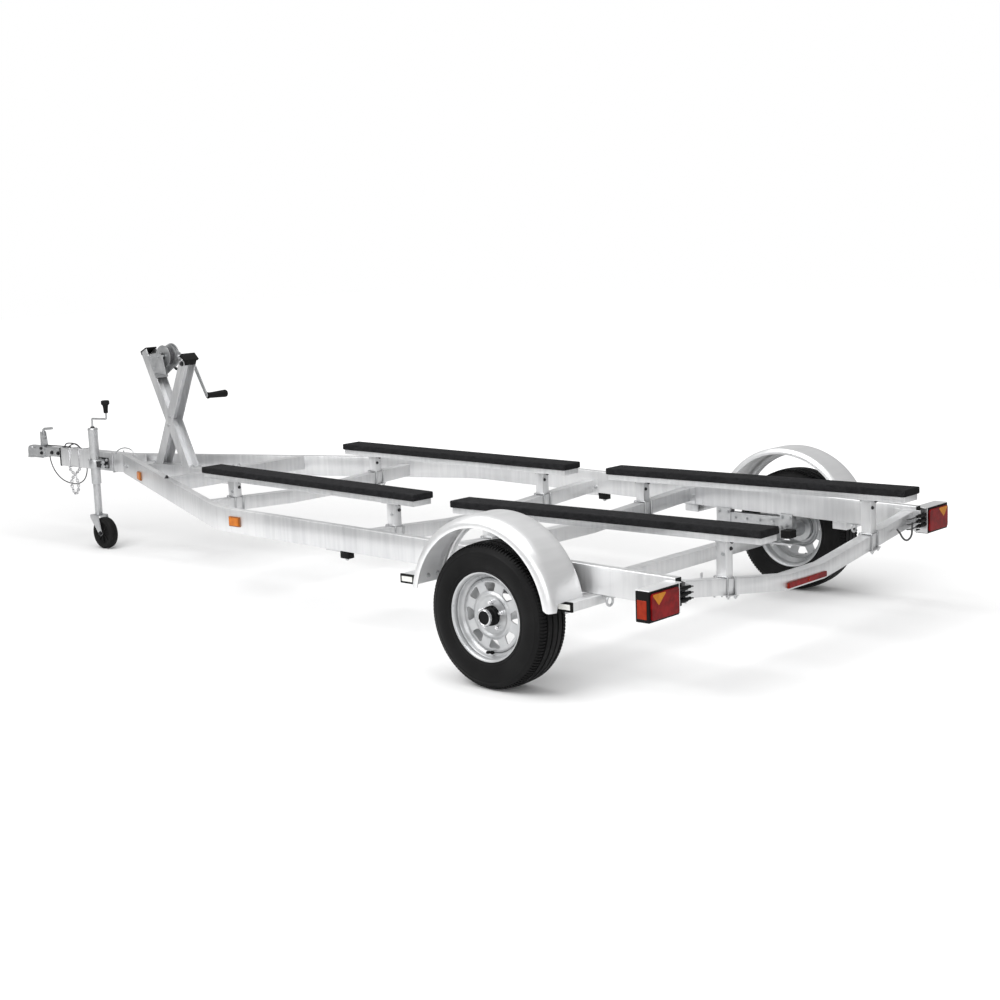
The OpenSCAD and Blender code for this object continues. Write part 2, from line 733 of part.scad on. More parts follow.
module jockey_fork() {
    pin_r = 6;
    color("gainsboro") at_axle() at_jockey() {
        translate([0, 0, fork_plate_z + fork_t - eps]) cylinder(h = kingpin_l, r = kingpin_r);
        translate([-42, -fork_in - fork_t, fork_plate_z]) cube([84, 2 * (fork_in + fork_t), fork_t]);
        for (y = [-fork_in - fork_t, fork_in])
            side_prism(y, y + fork_t) polygon([
                [-42, fork_plate_z], [42, fork_plate_z], [42, fork_plate_z - 14],
                [-jockey_trail + 16, jockey_r - 10], [-jockey_trail, jockey_r - 18],
                [-jockey_trail - 16, jockey_r - 8], [-42 - 8, fork_plate_z - 30]]);
        translate([-jockey_trail, 0, jockey_r]) rotate([90, 0, 0])
            cylinder(h = 2 * (fork_in + fork_t + 5), r = pin_r, center = true);
    }
}

module jockey_wheel() {
    half = jockey_w / 2;
    pin_r = 6;
    color("#1c1c1c") at_axle() at_jockey() translate([-jockey_trail, 0, jockey_r]) rotate([-90, 0, 0])
        rotate_extrude($fn = 96) polygon([
            [pin_r + run, -half - 4], [22, -half - 4], [22, -half + 6], [jockey_r - 32, -half + 6],
            [jockey_r - 26, -half], [jockey_r - 10, -half], [jockey_r - 3, -half + 7], [jockey_r, -8],
            [jockey_r, 8], [jockey_r - 3, half - 7], [jockey_r - 10, half], [jockey_r - 26, half],
            [jockey_r - 32, half - 6], [22, half - 6], [22, half + 4], [pin_r + run, half + 4]]);
}

module jockey_crank() {
    rod_r = 7;
    top = jack_z[1] + 72;
    color("silver") at_axle() at_jockey() {
        translate([0, 0, jack_z[1] + 0.5]) cylinder(h = 14, r = 13);
        translate([0, 0, jack_z[1] + 0.5]) cylinder(h = top - jack_z[1], r = rod_r);
        translate([0, 0, top]) sphere(rod_r + 1.5);
        translate([0, 0, top]) rotate([0, -90, 0]) cylinder(h = crank_arm_l, r = rod_r - 1);
        translate([-crank_arm_l, 0, top]) sphere(rod_r);
        translate([-crank_arm_l, 0, top]) cylinder(h = 50, r = rod_r - 1);
        translate([-crank_arm_l, 0, top + 42]) cylinder(h = 55, r1 = 13, r2 = 19);
        translate([-crank_arm_l, 0, top + 97]) cylinder(h = 24, r = 25);
    }
}

// ---- Coupler ----

module coupler() {
    head_r = 42;
    head_h = 78;
    color("silver") at_axle() difference() {
        union() {
            translate([ball_x, 0, ball_z - 12]) cylinder(h = head_h, r = head_r);
            translate([ball_x - 150, -head_r + 8, ball_z - 4]) cube([150, 2 * head_r - 16, head_h - 14]);
            translate([drawbar_front, -shank_s / 2, ball_z + 8]) cube([260, shank_s, shank_s - 6]);
        }
        translate([ball_x, 0, ball_z]) sphere(ball_r + 0.3);
        translate([ball_x, 0, ball_z - 12 - eps]) cylinder(h = 12 + eps, r = ball_r + 0.3);
    }
}

module coupler_handle() {
    lever_x = ball_x - 140;
    base = ball_z + 60;
    color("darkgray") at_axle() {
        for (y = [-18, 12])
            translate([lever_x, y, base]) cube([30, 6, 110]);
        translate([lever_x + 4, -18, base + 84]) cube([22, 36, 22]);
        translate([lever_x - 96, 0, base + 104]) rotate([0, 90, 0]) cylinder(h = 116, r = 9);
    }
}

// ---- Lamps ----

module tail_lamp() {
    lamp_w = 200;
    lamp_h = 120;
    lamp_d = 75;
    rear = -rail_overhang - 39;
    low = rail_top_rear - 134;
    translate([rear, half_w + 18, low]) cube([lamp_d, lamp_w, lamp_h]);
    translate([rear + lamp_d - 34, half_w, low + 30]) cube([34, 20, 80]);
}

module left_tail_lamp() {
    color("darkred") at_axle() tail_lamp();
}

module right_tail_lamp() {
    color("darkred") at_axle() mirror([0, 1, 0]) tail_lamp();
}

module marker_lamps() {
    size = [80, 14, 50];
    bar_w = 310;
    diag_x = coupler_reach - 1550;
    color("orange") at_axle() {
        both_sides() {
            translate([bend_start - size[0] - 4, half_w, rail_top(bend_start) - 84]) cube(size);
            translate([diag_x, half_w - (diag_x - bend_x) * tan(nose_angle), rail_top(diag_x) - 98])
                rotate([0, 0, -nose_angle]) cube(size);
            under_rail(outrigger_front_x[0] + 1, outrigger_front_x[1] - 1, outrigger_y[1],
                outrigger_y[1] + lamp_t, outrigger_h - 2);
            under_rail(outrigger_rear_x[0] + 1, outrigger_rear_x[1] - 1, outrigger_y[1],
                outrigger_y[1] + lamp_t, outrigger_h - 2);
        }
        translate([rear_member[0] - 10, -bar_w / 2, rail_top(rear_member[0]) + rear_member[1] - 46])
            cube([10, bar_w, 24]);
    }
}

// ---- Safety chain and breakaway cable ----

function lengths(route, i = 0, total = 0) = i == len(route) - 1 ? [total]
    : concat([total], lengths(route, i + 1, total + norm(route[i + 1] - route[i])));
function along(route, marks, d) = [for (k = [0 : 2])
    lookup(d, [for (i = [0 : len(route) - 1]) [marks[i], route[i][k]]])];

// A chain link, long along Z and flat in XZ
module chain_link() {
    bend = (link_w - link_wire) / 2;
    straight = link_l - link_w;
    for (a = [0, 180])
        rotate([0, a, 0]) {
            translate([0, 0, straight / 2]) rotate([90, 0, 0])
                rotate_extrude(angle = 180) translate([bend, 0]) circle(link_wire / 2, $fn = 16);
            translate([bend, 0, -straight / 2]) cylinder(h = straight, r = link_wire / 2, $fn = 16);
        }
}

module safety_chain() {
    marks = lengths(chain_route);
    links = floor(marks[len(marks) - 1] / link_pitch);
    color("gray") at_tip() {
        for (i = [0 : links - 1]) {
            a = along(chain_route, marks, i * link_pitch);
            b = along(chain_route, marks, (i + 1) * link_pitch);
            d = b - a;
            translate((a + b) / 2) rotate([-asin(d[1] / norm(d)), atan2(d[0], d[2]), 0])
                rotate([0, 0, 45 + 90 * (i % 2)]) chain_link();
        }
        for (x = strap_x)
            difference() {
                translate([x - strap_w / 2, -drawbar_w / 2 - strap_t, -drawbar_h - strap_t])
                    cube([strap_w, drawbar_w + 2 * strap_t, drawbar_h + 2 * strap_t]);
                translate([x - strap_w, -drawbar_w / 2, -drawbar_h])
                    cube([2 * strap_w, drawbar_w, drawbar_h]);
            }
    }
}

// A tube swept along a route that lies in a plane of constant Y
module breakaway_cable() {
    n = len(cable_route);
    way = [for (i = [0 : n - 1])
        let (d = cable_route[min(i + 1, n - 1)] - cable_route[max(i - 1, 0)]) d / norm(d)];
    ends = [[0, 0, -1], [0, 0, 1]];
    rings = [for (i = [0 : n - 1]) let (w = i == 0 ? ends[0] : i == n - 1 ? ends[1] : way[i])
        for (k = [0 : cable_sides - 1]) let (a = (k + 0.5) * 360 / cable_sides)
            cable_route[i] + cable_r * (cos(a) * [0, 1, 0] + sin(a) * cross(w, [0, 1, 0]))];
    color("black") at_tip() polyhedron(rings, concat(
        [[for (k = [0 : cable_sides - 1]) k]],
        [for (i = [0 : n - 2]) for (k = [0 : cable_sides - 1]) let (j = (k + 1) % cable_sides)
            [i * cable_sides + k, (i + 1) * cable_sides + k, (i + 1) * cable_sides + j, i * cable_sides + j]],
        [[for (k = [cable_sides - 1 : -1 : 0]) (n - 1) * cable_sides + k]]));
}

left_rail();
right_rail();
drawbar();
nose_crossmember();
front_crossmember();
middle_crossmember();
axle_crossmember();
rear_crossmember();
rail_blocks();
mudguard_outriggers();
axle_beam();
axle_mounts();
left_hub();
right_hub();
left_rim();
right_rim();
left_tyre();
right_tyre();
left_mudguard();
right_mudguard();
left_rear_bunk();
right_rear_bunk();
left_front_bunk();
right_front_bunk();
rear_bunk_bearers();
front_bunk_bearers();
rear_bunk_posts();
front_bunk_posts();
winch_post();
winch_frame();
winch_drum();
winch_crank();
bow_stop();
jockey_clamp();
jockey_outer_tube();
jockey_inner_tube();
jockey_fork();
jockey_wheel();
jockey_crank();
coupler();
coupler_handle();
left_tail_lamp();
right_tail_lamp();
marker_lamps();
tie_down_eyes();
safety_chain();
breakaway_cable();
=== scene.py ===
"""Looks of the boat trailer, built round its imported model."""
import json
import math

import bmesh
import bpy
from mathutils import Matrix, Vector


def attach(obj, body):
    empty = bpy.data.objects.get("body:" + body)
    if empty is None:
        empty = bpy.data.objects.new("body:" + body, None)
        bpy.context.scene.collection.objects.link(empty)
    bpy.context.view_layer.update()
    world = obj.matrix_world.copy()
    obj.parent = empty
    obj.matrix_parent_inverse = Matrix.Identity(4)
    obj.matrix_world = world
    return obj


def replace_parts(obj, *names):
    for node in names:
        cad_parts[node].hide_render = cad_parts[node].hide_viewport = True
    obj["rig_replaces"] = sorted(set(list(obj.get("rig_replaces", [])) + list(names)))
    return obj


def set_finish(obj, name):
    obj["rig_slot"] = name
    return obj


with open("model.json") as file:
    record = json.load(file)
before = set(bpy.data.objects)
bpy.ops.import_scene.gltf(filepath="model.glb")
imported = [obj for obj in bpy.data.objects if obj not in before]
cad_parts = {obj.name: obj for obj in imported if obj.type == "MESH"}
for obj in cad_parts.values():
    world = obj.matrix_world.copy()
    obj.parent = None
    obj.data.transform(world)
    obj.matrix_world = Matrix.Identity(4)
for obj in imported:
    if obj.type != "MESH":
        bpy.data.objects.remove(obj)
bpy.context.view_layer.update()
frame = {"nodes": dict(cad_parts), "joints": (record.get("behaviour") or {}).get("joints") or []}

# ---- Camera ----
# It stands beyond the trailer's left rear corner, nearly two metres up, and leans by two degrees.
lens = bpy.data.cameras.new("camera")
lens.sensor_width = 36
lens.lens = 62.85
lens.shift_x = 0.001
lens.shift_y = 0.02
lens.clip_end = 100
camera = bpy.data.objects.new("camera", lens)
camera.location = (-6.9228, 6.5114, 1.9541)
camera.rotation_euler = [math.radians(a) for a in (80.218, 2.093, -138.434)]
bpy.context.scene.collection.objects.link(camera)
bpy.context.scene.camera = camera


# ---- Breakaway cable ----
# A steel cable in a black sleeve. It hangs in one loop from the underside of the coupler to the
# underside of the drawbar.
class Wire:
    """A value or colour in a finish. Arithmetic on it adds Math nodes."""

    def __init__(self, finish, socket):
        self.finish = finish
        self.socket = socket

    def math(self, operation, *values):
        return self.finish.node("Math", {"operation": operation}, dict(enumerate(values)))

    def __add__(self, other):
        return self.math("ADD", self, other)

    def __mul__(self, other):
        return self.math("MULTIPLY", self, other)


class Finish:
    """A material whose pattern is built from nodes on Object coordinates."""

    def __init__(self, name, slot, **settings):
        self.slot = slot
        self.material = bpy.data.materials.new(name)
        self.material.use_nodes = True
        self.tree = self.material.node_tree
        self.shader = self.tree.nodes["Principled BSDF"]
        self.place = self.node("TexCoord", {}, {}, "Object")
        for key, value in settings.items():
            self.set(key.replace("_", " ").title(), value)

    def set(self, socket, value):
        """Sets or links one of the shader's own sockets."""
        self._fill(self.shader.inputs[socket.replace("Ior", "IOR")], value)

    def _fill(self, socket, value):
        if isinstance(value, Wire):
            self.tree.links.new(value.socket, socket)
        elif socket.type == "RGBA" and len(value) == 3:
            socket.default_value = (*value, 1)
        else:
            socket.default_value = value

    def node(self, kind, settings, inputs, output=0):
        made = self.tree.nodes.new("ShaderNode" + kind)
        for key, value in settings.items():
            if key == "stops":
                for stop, (at, colour) in zip(self._stops(made, len(value)), value):
                    stop.position = at
                    stop.color = (*colour, 1)
            else:
                setattr(made, key, value)
        for key, value in inputs.items():
            self._fill(made.inputs[key], value)
        return Wire(self, made.outputs[output])

    def _stops(self, ramp, count):
        stops = ramp.color_ramp.elements
        while len(stops) < count:
            stops.new(1)
        return stops

    def stretched(self, scale):
        """Object coordinates, stretched by a factor along each axis."""
        return self.node("Mapping", {}, {"Vector": self.place, "Scale": scale})

    def noise(self, scale, detail=3, vector=None):
        return self.node("TexNoise", {}, {"Vector": vector or self.place, "Scale": scale, "Detail": detail})

    def shades(self, factor, dark, light, low=0.3, high=0.7):
        """A colour between two, by a factor."""
        return self.node("ValToRGB", {"stops": [(low, dark), (high, light)]}, {0: factor})

    def between(self, factor, low, high, start=0.3, stop=0.7):
        """A number between two, by a factor."""
        limits = {0: factor, 1: start, 2: stop, 3: low, 4: high}
        return self.node("MapRange", {"clamp": True}, limits)

    def colour(self, *levels):
        self.set("Base Color", self.shades(*levels))

    def rough(self, *levels):
        self.set("Roughness", self.between(*levels))

    def bump(self, height, distance, strength=1):
        self.set("Normal", self.node("Bump", {},
            {"Height": height, "Distance": distance, "Strength": strength}))


def keep(piece, body, slot, *nodes):
    """Puts a piece on a body, names its slot, and hides the nodes that it stands for."""
    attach(piece, body)
    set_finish(piece, slot)
    if nodes:
        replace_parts(piece, *nodes)
    return piece


def wires(name, routes, radius, finish, *nodes, body="frame", slot=None, smooth=False):
    """Round wires or rods along routes, as one curve object."""
    curve = bpy.data.curves.new(name, "CURVE")
    curve.dimensions = "3D"
    curve.bevel_depth = radius
    curve.bevel_resolution = 3
    curve.use_fill_caps = True
    for route in routes:
        line = curve.splines.new("BEZIER" if smooth else "POLY")
        if smooth:
            line.bezier_points.add(len(route) - 1)
            for knot, point in zip(line.bezier_points, route):
                knot.co = point
                knot.handle_left_type = knot.handle_right_type = "AUTO"
            line.resolution_u = 8
        else:
            line.points.add(len(route) - 1)
            for knot, point in zip(line.points, route):
                knot.co = (*point, 1)
    curve.materials.append(finish.material)
    piece = bpy.data.objects.new(name, curve)
    bpy.context.scene.collection.objects.link(piece)
    return keep(piece, body, slot or finish.slot, *nodes)


sleeve = Finish("cable_sleeve", "black_rubber", base_color=(0.035, 0.035, 0.037), roughness=0.45)
sleeve.rough(sleeve.noise(90), 0.38, 0.55)
sleeve.bump(sleeve.noise(700), 0.0002, 0.3)

axle_x = next(j for j in frame["joints"] if j["name"] == "left_wheel_spin")["pos_m"][0]
cable_route = [
    Vector((axle_x + x / 1000, 0.015, z / 1000))
    for x, z in [
    (4946, 534.6), (4945, 520), (4939, 498), (4929, 476), (4913, 452), (4892, 430), (4864, 409),
    (4830, 391), (4790, 378), (4748, 371), (4706, 368), (4664, 371), (4626, 380), (4596, 394),
    (4572, 413), (4556, 436), (4546, 460), (4542, 483.6),
    ]
]
cable = wires("breakaway_cable_line", [cable_route], 0.0035, sleeve, "breakaway_cable", slot="cable_black",
    smooth=True)


# ---- Side rails ----
# Two deep aluminium box rails. Each runs straight past the wheel and bends inward to the drawbar, and its
# rear end is closed by a thin black cap.
def rounded(piece, width, sharp=30):
    """Rounds a piece's edges with a bevel that keeps its faces flat."""
    bevel = piece.modifiers.new("rounding", "BEVEL")
    bevel.width = width
    bevel.segments = 2
    bevel.limit_method = "ANGLE"
    bevel.angle_limit = math.radians(sharp)
    bevel.harden_normals = True
    bevel.use_clamp_overlap = True
    return piece


def built(name, shape, finish, *nodes, body="frame", slot=None, width=0, sharp=32):
    """Makes a piece from a bmesh: smooth where it is curved, with rounded or sharp edges."""
    bmesh.ops.recalc_face_normals(shape, faces=shape.faces)
    mesh = bpy.data.meshes.new(name)
    shape.to_mesh(mesh)
    shape.free()
    mesh.shade_smooth()
    mesh.materials.append(finish.material)
    piece = bpy.data.objects.new(name, mesh)
    bpy.context.scene.collection.objects.link(piece)
    if width:
        rounded(piece, width, sharp)
    else:
        mesh.set_sharp_from_angle(angle=math.radians(sharp))
    return keep(piece, body, slot or finish.slot, *nodes)


def softened(name, finish, *nodes, body="frame", slot=None, width=0.002):
    """Makes a piece from a copy of CAD nodes, with flat faces joined and edges rounded."""
    shape = bmesh.new()
    for node in nodes:
        shape.from_mesh(frame["nodes"][node].data)
    bmesh.ops.remove_doubles(shape, verts=shape.verts, dist=1e-6)
    bmesh.ops.dissolve_limit(shape, angle_limit=math.radians(1), verts=shape.verts, edges=shape.edges)
    return built(name, shape, finish, *nodes, body=body, slot=slot, width=width)


def at(x, y, z):
    """A point in millimetres: forward of the axle, to the left and up."""
    return Vector((axle_x + x / 1000, y / 1000, z / 1000))


def block(shape, low, high):
    """Adds a box between two corners, in millimetres."""
    low, high = at(*low), at(*high)
    place = Matrix.Translation((low + high) / 2) @ Matrix.Diagonal((*(high - low), 1))
    return bmesh.ops.create_cube(shape, size=1, matrix=place)["verts"]


def prism(shape, bottom, rise):
    """Adds a prism: an outline of points, moved by a vector."""
    low = [shape.verts.new(p) for p in bottom]
    high = [shape.verts.new(Vector(p) + Vector(rise)) for p in bottom]
    shape.faces.new(low[::-1])
    shape.faces.new(high)
    for i in range(len(low)):
        shape.faces.new((low[i - 1], low[i], high[i], high[i - 1]))
    return low + high


def rod(shape, start, end, radius, tip=None, segments=32):
    """Adds a round bar between two points. It tapers to the tip's radius."""
    along = end - start
    place = Matrix.Translation((start + end) / 2) @ along.to_track_quat("Z", "Y").to_matrix().to_4x4()
    return bmesh.ops.create_cone(
        shape, cap_ends=True, segments=segments, radius1=radius, radius2=radius if tip is None else tip,
        depth=along.length, matrix=place,
    )["verts"]


def bolt(shape, seat, out, size=0.008, stub=0.0):
    """Adds a washer and a hexagon head on a face, with a stub of thread beyond it."""
    out = Vector(out).normalized()
    rod(shape, seat, seat + out * 0.0018, size * 1.35, segments=24)
    rod(shape, seat + out * 0.0018, seat + out * (0.0018 + size * 0.85), size, segments=6)
    if stub:
        rod(shape, seat, seat + out * stub, size * 0.52, segments=12)


RAIL_OVERHANG, BEND_X = 795, 2055
RAIL_FOOT, RAIL_SLOPE, NOSE_SLOPE = 524, 0.0193, 0.0095
NOSE_RUN, NOSE_TAPER = 2065, 960


def rail_top(x):
    """Height of the side rails' top, in millimetres, x forward of the axle."""
    main = RAIL_FOOT + (min(x, BEND_X) + RAIL_OVERHANG) * RAIL_SLOPE
    return main + max(x - BEND_X, 0) * NOSE_SLOPE


def rail_out(x):
    """The outer side of a rail in plan, in millimetres."""
    return 1000 - max(x - BEND_X, 0) * NOSE_TAPER / NOSE_RUN


aluminium = Finish("frame_aluminium", "frame_aluminium", metallic=0.8)
grain = aluminium.noise(9, 5, aluminium.stretched((5, 5, 0.35)))
cloud = aluminium.noise(1.7, 4)
aluminium.colour(grain * 0.4 + cloud * 0.6, (0.56, 0.565, 0.575), (0.74, 0.743, 0.747), 0.34, 0.62)
aluminium.rough(cloud * 0.6 + grain * 0.4, 0.26, 0.46)
aluminium.bump(grain, 0.0004, 0.25)

black_plastic = Finish("black_plastic", "black_rubber", base_color=(0.005, 0.005, 0.0052),
    specular_ior_level=0.12)
black_plastic.rough(black_plastic.noise(60), 0.4, 0.58)
black_plastic.bump(black_plastic.noise(900), 0.0001, 0.3)

softened("left_side_rail", aluminium, "left_rail", width=0.003)
softened("right_side_rail", aluminium, "right_rail", width=0.003)


def other_side(piece, name, *nodes, body="frame"):
    """A mirrored copy of a piece, on the other side of the trailer."""
    twin = piece.copy()
    twin.name = name
    twin.data = piece.data.copy()
    if "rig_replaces" in twin:
        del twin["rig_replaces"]
    twin.data.transform(Matrix.Scale(-1, 4, (0, 1, 0)))
    twin.data.flip_normals()
    bpy.context.scene.collection.objects.link(twin)
    return keep(twin, body, piece["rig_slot"], *nodes)


def both_sides(name, shape, finish, *nodes, body="frame", **rounding):
    """A piece on the left and its mirrored copy on the right, which stands for the right nodes."""
    piece = built(name, shape, finish, *nodes, body=body, **rounding)
    twins = [n.replace("left", "right") for n in (name, *nodes, body)]
    other_side(piece, *twins[:-1], body=twins[-1])


shape = bmesh.new()
block(shape, (-797, 961, rail_top(-795) - 119), (-794, 999, rail_top(-795) - 1))
both_sides("left_rail_cap", shape, black_plastic, width=0.001)

# ---- Drawbar ----
# A deep aluminium bar from the nose cross-member to the coupler. Bolts join the rails to it, and a
# black collar closes its front end round the coupler's shank.
softened("drawbar_beam", aluminium, "drawbar", width=0.003)

zinc = Finish("zinc_steel", "zinc_steel", metallic=0.9)
spangle = zinc.node("TexVoronoi", {}, {"Vector": zinc.place, "Scale": 60})
mottle = zinc.noise(24, 4)
zinc.colour(spangle * 0.15 + mottle * 0.85, (0.4, 0.41, 0.42), (0.58, 0.585, 0.59), 0.2, 0.7)
zinc.rough(mottle, 0.28, 0.46)
zinc.bump(mottle, 0.0003, 0.3)

dark_steel = Finish("dark_steel", "black_steel", metallic=0.8, base_color=(0.05, 0.05, 0.053))
dark_steel.rough(dark_steel.noise(70), 0.35, 0.55)

TOP = rail_top(4120)
shape = bmesh.new()
for side in (-1, 1):
    for x in (4008, 4062):
        bolt(shape, at(x, side * (rail_out(x) + 0.2), TOP - 60), (0.42, side, 0), 0.010, 0.014)
    bolt(shape, at(3100 - 20, side * 22, rail_top(3040)), (0, 0, 1), 0.009, 0.012)
built("drawbar_bolts", shape, zinc)
shape = bmesh.new()
block(shape, (4784, -42, TOP - 117), (4797, 42, TOP + 2))
built("drawbar_collar", shape, black_plastic, width=0.003)

# ---- Cross-members ----
# Four cranked members carry the bunk posts, and a straight one crosses the rails' noses. The three that
# lie behind the rails' bend end at bolted plates inside the rails.
MEMBERS = {"rear": (-780, -139, -24), "axle": (530, -79, -35), "middle": (1185, -100, -51),
    "front": (2430, -69, -34)}


def member_top(name, y):
    """Height of a cranked member's top, in millimetres, y to the side."""
    x, middle, end = MEMBERS[name]
    return rail_top(x) + middle + (end - middle) * max(abs(y) - 150, 0) / 810


def inner_y(x):
    """The inner side of a rail in plan, in millimetres."""
    return rail_out(x) - (40 if x < BEND_X else 44.1)


for name in MEMBERS:
    softened(name + "_member", aluminium, name + "_crossmember", width=0.0025)
softened("nose_member", aluminium, "nose_crossmember", width=0.0025)

shape = bmesh.new()
bolt(shape, at(3060, 520, rail_top(3040)), (0, 0, 1), 0.010, 0.016)
built("nose_member_bolt", shape, dark_steel)
shape = bmesh.new()
heads = bmesh.new()
for name, (x, _, end) in MEMBERS.items():
    y = inner_y(x + 30)
    top = rail_top(x) + end
    for side in (-1, 1):
        if x < BEND_X:
            block(shape, (x - 38, side * y - 3, top - 84), (x + 98, side * y + 3, top + 6))
            for bx in (x - 22, x + 82):
                bolt(heads, at(bx, side * (y - 3), top - 38), (0, -side, 0), 0.008, 0.012)
block(shape, (-723, 708, member_top("rear", 718)), (-719, 724, member_top("rear", 718) + 22))
built("end_plates", shape, aluminium, width=0.001)
built("end_plate_bolts", heads, zinc)

# ---- Rail blocks ----
# A black block with a square end under each rail, ahead of the axle. A bolt passes up through it.
softened("rail_block_pads", black_plastic, "rail_blocks", width=0.003)
shape = bmesh.new()
for side in (-1, 1):
    bolt(shape, at(1120, side * 980, rail_top(1120) - 154), (0, 0, -1), 0.009, 0.012)
built("rail_block_bolts", shape, zinc)

# ---- Mudguard outriggers ----
# Short square tubes under the rails that carry the mudguards.
softened("outrigger_tubes", aluminium, "mudguard_outriggers", width=0.002)

# ---- Tie-down eyes ----
# A steel ring welded to a pad under each rail.
softened("tie_down_rings", zinc, "tie_down_eyes", width=0.0008)

# ---- Axle and suspension ----
# A square beam between the rails, with a stub axle for each wheel. Each end hangs from a bracket and a
# perforated arm under the rail, against a black rubber block.
rim_paint = Finish("silver_rim", "rim_steel", metallic=0.45)
bloom = rim_paint.noise(14, 4)
rim_paint.colour(bloom, (0.42, 0.43, 0.44), (0.54, 0.545, 0.55))
rim_paint.rough(bloom, 0.26, 0.4)
rim_paint.bump(rim_paint.noise(180), 0.0002, 0.2)

softened("axle_bar", aluminium, "axle_beam", slot="zinc_steel", width=0.003)
softened("suspension_arms", zinc, "axle_mounts", width=0.002)

rubber = Finish("black_rubber", "black_rubber", specular_ior_level=0.15)
smudge = rubber.noise(11, 5)
rubber.colour(smudge, (0.004, 0.004, 0.004), (0.01, 0.01, 0.0098))
rubber.rough(smudge, 0.55, 0.75)
rubber.bump(rubber.noise(420), 0.0003, 0.35)

plates = bmesh.new()
heads = bmesh.new()
buffers = bmesh.new()
for side in (-1, 1):
    inner = side * 953
    face = side * 952
    for x0, x1, z0, z1 in ((266, 354, 318, 428), (-108, -34, 350, 426), (-60, 60, 285, 292)):
        block(plates, (x0, inner - 3, z0), (x1, inner + 3, z1))
    for x, z in ((282, 410), (338, 410), (310, 340), (-96, 408), (-46, 408), (-71, 366)):
        bolt(heads, at(x, face - side * 2, z), (0, -side, 0), 0.009, 0.012)
    for x in (10, 90, 170, 240):
        bolt(heads, at(x, face, 382), (0, -side, 0), 0.0065)
    block(buffers, (-146, side * 900 - 30, 318), (-88, side * 900 + 30, 358))
    block(plates, (-160, side * 905 - 44, 284), (-20, side * 905 + 44, 294))
    for dx, dy in ((-34, -36), (14, -36), (-34, 36), (14, 36)):
        spot = at(dx - 10, side * 905 + dy, 294)
        rod(heads, spot, spot + Vector((0, 0, 0.07)), 0.005, segments=12)
        bolt(heads, spot - Vector((0, 0, 0.01)), (0, 0, -1), 0.008, 0.012)
built("suspension_plates", plates, zinc, width=0.001)
built("suspension_bolts", heads, zinc)
built("suspension_buffers", buffers, rubber, width=0.004)

# ---- Hubs ----
# A zinc hub barrel passes through each wheel, with five wheel nuts round it. A black cap with a bright
# ring closes its end.
HUB_Y, HUB_Z = 1175.5, 315
WHEEL = Matrix.Translation(at(0, 0, HUB_Z)) @ Matrix.Rotation(math.radians(-90), 4, "X")


def lathe(shape, profile, place, steps=96):
    """Adds a turned ring or solid, from pairs of radius and height in millimetres spun about Z."""
    before = set(shape.verts)
    knots = [shape.verts.new((r / 1000, 0, h / 1000)) for r, h in profile]
    lines = [shape.edges.new(pair) for pair in zip(knots, knots[1:] + knots[:1])]
    bmesh.ops.spin(shape, geom=knots + lines, axis=(0, 0, 1), cent=(0, 0, 0), angle=math.tau, steps=steps)
    fresh = [v for v in shape.verts if v not in before]
    bmesh.ops.remove_doubles(shape, verts=fresh, dist=2e-6)
    fresh = [v for v in shape.verts if v not in before]
    bmesh.ops.transform(shape, matrix=place, verts=fresh)
    return fresh


shape = bmesh.new()
lathe(shape, [(42.2, 1204.5), (72, 1204.5), (72, 1206.8), (42.4, 1206.8), (42.4, 1213), (42, 1228),
    (41, 1231), (36, 1235), (34, 1240), (34, 1262), (31, 1266), (29, 1267), (28, 1264.5), (0, 1264.5),
    (0, 1204.5)], WHEEL, 64)
both_sides("left_hub_cap", shape, black_plastic, "left_hub", body="left_wheel", slot="black_steel",
    width=0.0008)
shape = bmesh.new()
lathe(shape, [(19.2, 1058), (38, 1058), (42, 1062), (42, 1180), (70, 1184), (72, 1186), (72, 1204),
    (19.2, 1204)], WHEEL, 64)
both_sides("left_hub_barrel", shape, zinc, body="left_wheel", width=0.0008)

bright = Finish("bright_steel", "zinc_steel", metallic=1.0, base_color=(0.72, 0.72, 0.73))
bright.rough(bright.noise(30), 0.16, 0.3)
shape = bmesh.new()
lathe(shape, [(34.2, 1256), (36, 1257), (36.4, 1262), (34.5, 1266.5), (31, 1268.4), (29.5, 1267.4),
    (31, 1265), (34.2, 1262)], WHEEL, 64)
for i in range(5):
    turn = math.radians(18 + 72 * i)
    seat = at(58 * math.cos(turn), 1212.5, HUB_Z + 58 * math.sin(turn))
    out = Vector((0, 1, 0))
    rod(shape, seat, seat + out * 0.004, 0.0105, 0.009, segments=24)
    rod(shape, seat + out * 0.004, seat + out * 0.015, 0.009, 0.0085, segments=6)
    rod(shape, seat, seat + out * 0.021, 0.005, segments=16)
both_sides("left_wheel_nuts", shape, bright, body="left_wheel")

# ---- Rims ----
# A steel rim with a rolled lip and a stepped well. Its dished disc has eight windows with turned edges,
# a raised ring round the nuts, and a black valve.
shape = bmesh.new()
lathe(shape, [(195, 1093), (195, 1096), (190, 1098), (180, 1103), (178, 1108), (178, 1133), (158, 1147),
    (163, 1200), (172, 1206), (184, 1220), (185, 1228), (185, 1240), (187, 1248), (192, 1254), (195, 1256),
    (195, 1258), (191, 1258.4), (186, 1256), (182, 1251), (180, 1245), (180, 1239), (182, 1237),
    (182, 1231), (179.5, 1229), (178, 1221), (170, 1212), (161, 1206), (160, 1199), (154, 1148),
    (174, 1132), (174, 1106), (177, 1099), (190, 1093)], WHEEL, 128)
both_sides("left_rim_barrel", shape, rim_paint, "left_rim", body="left_wheel", sharp=50)


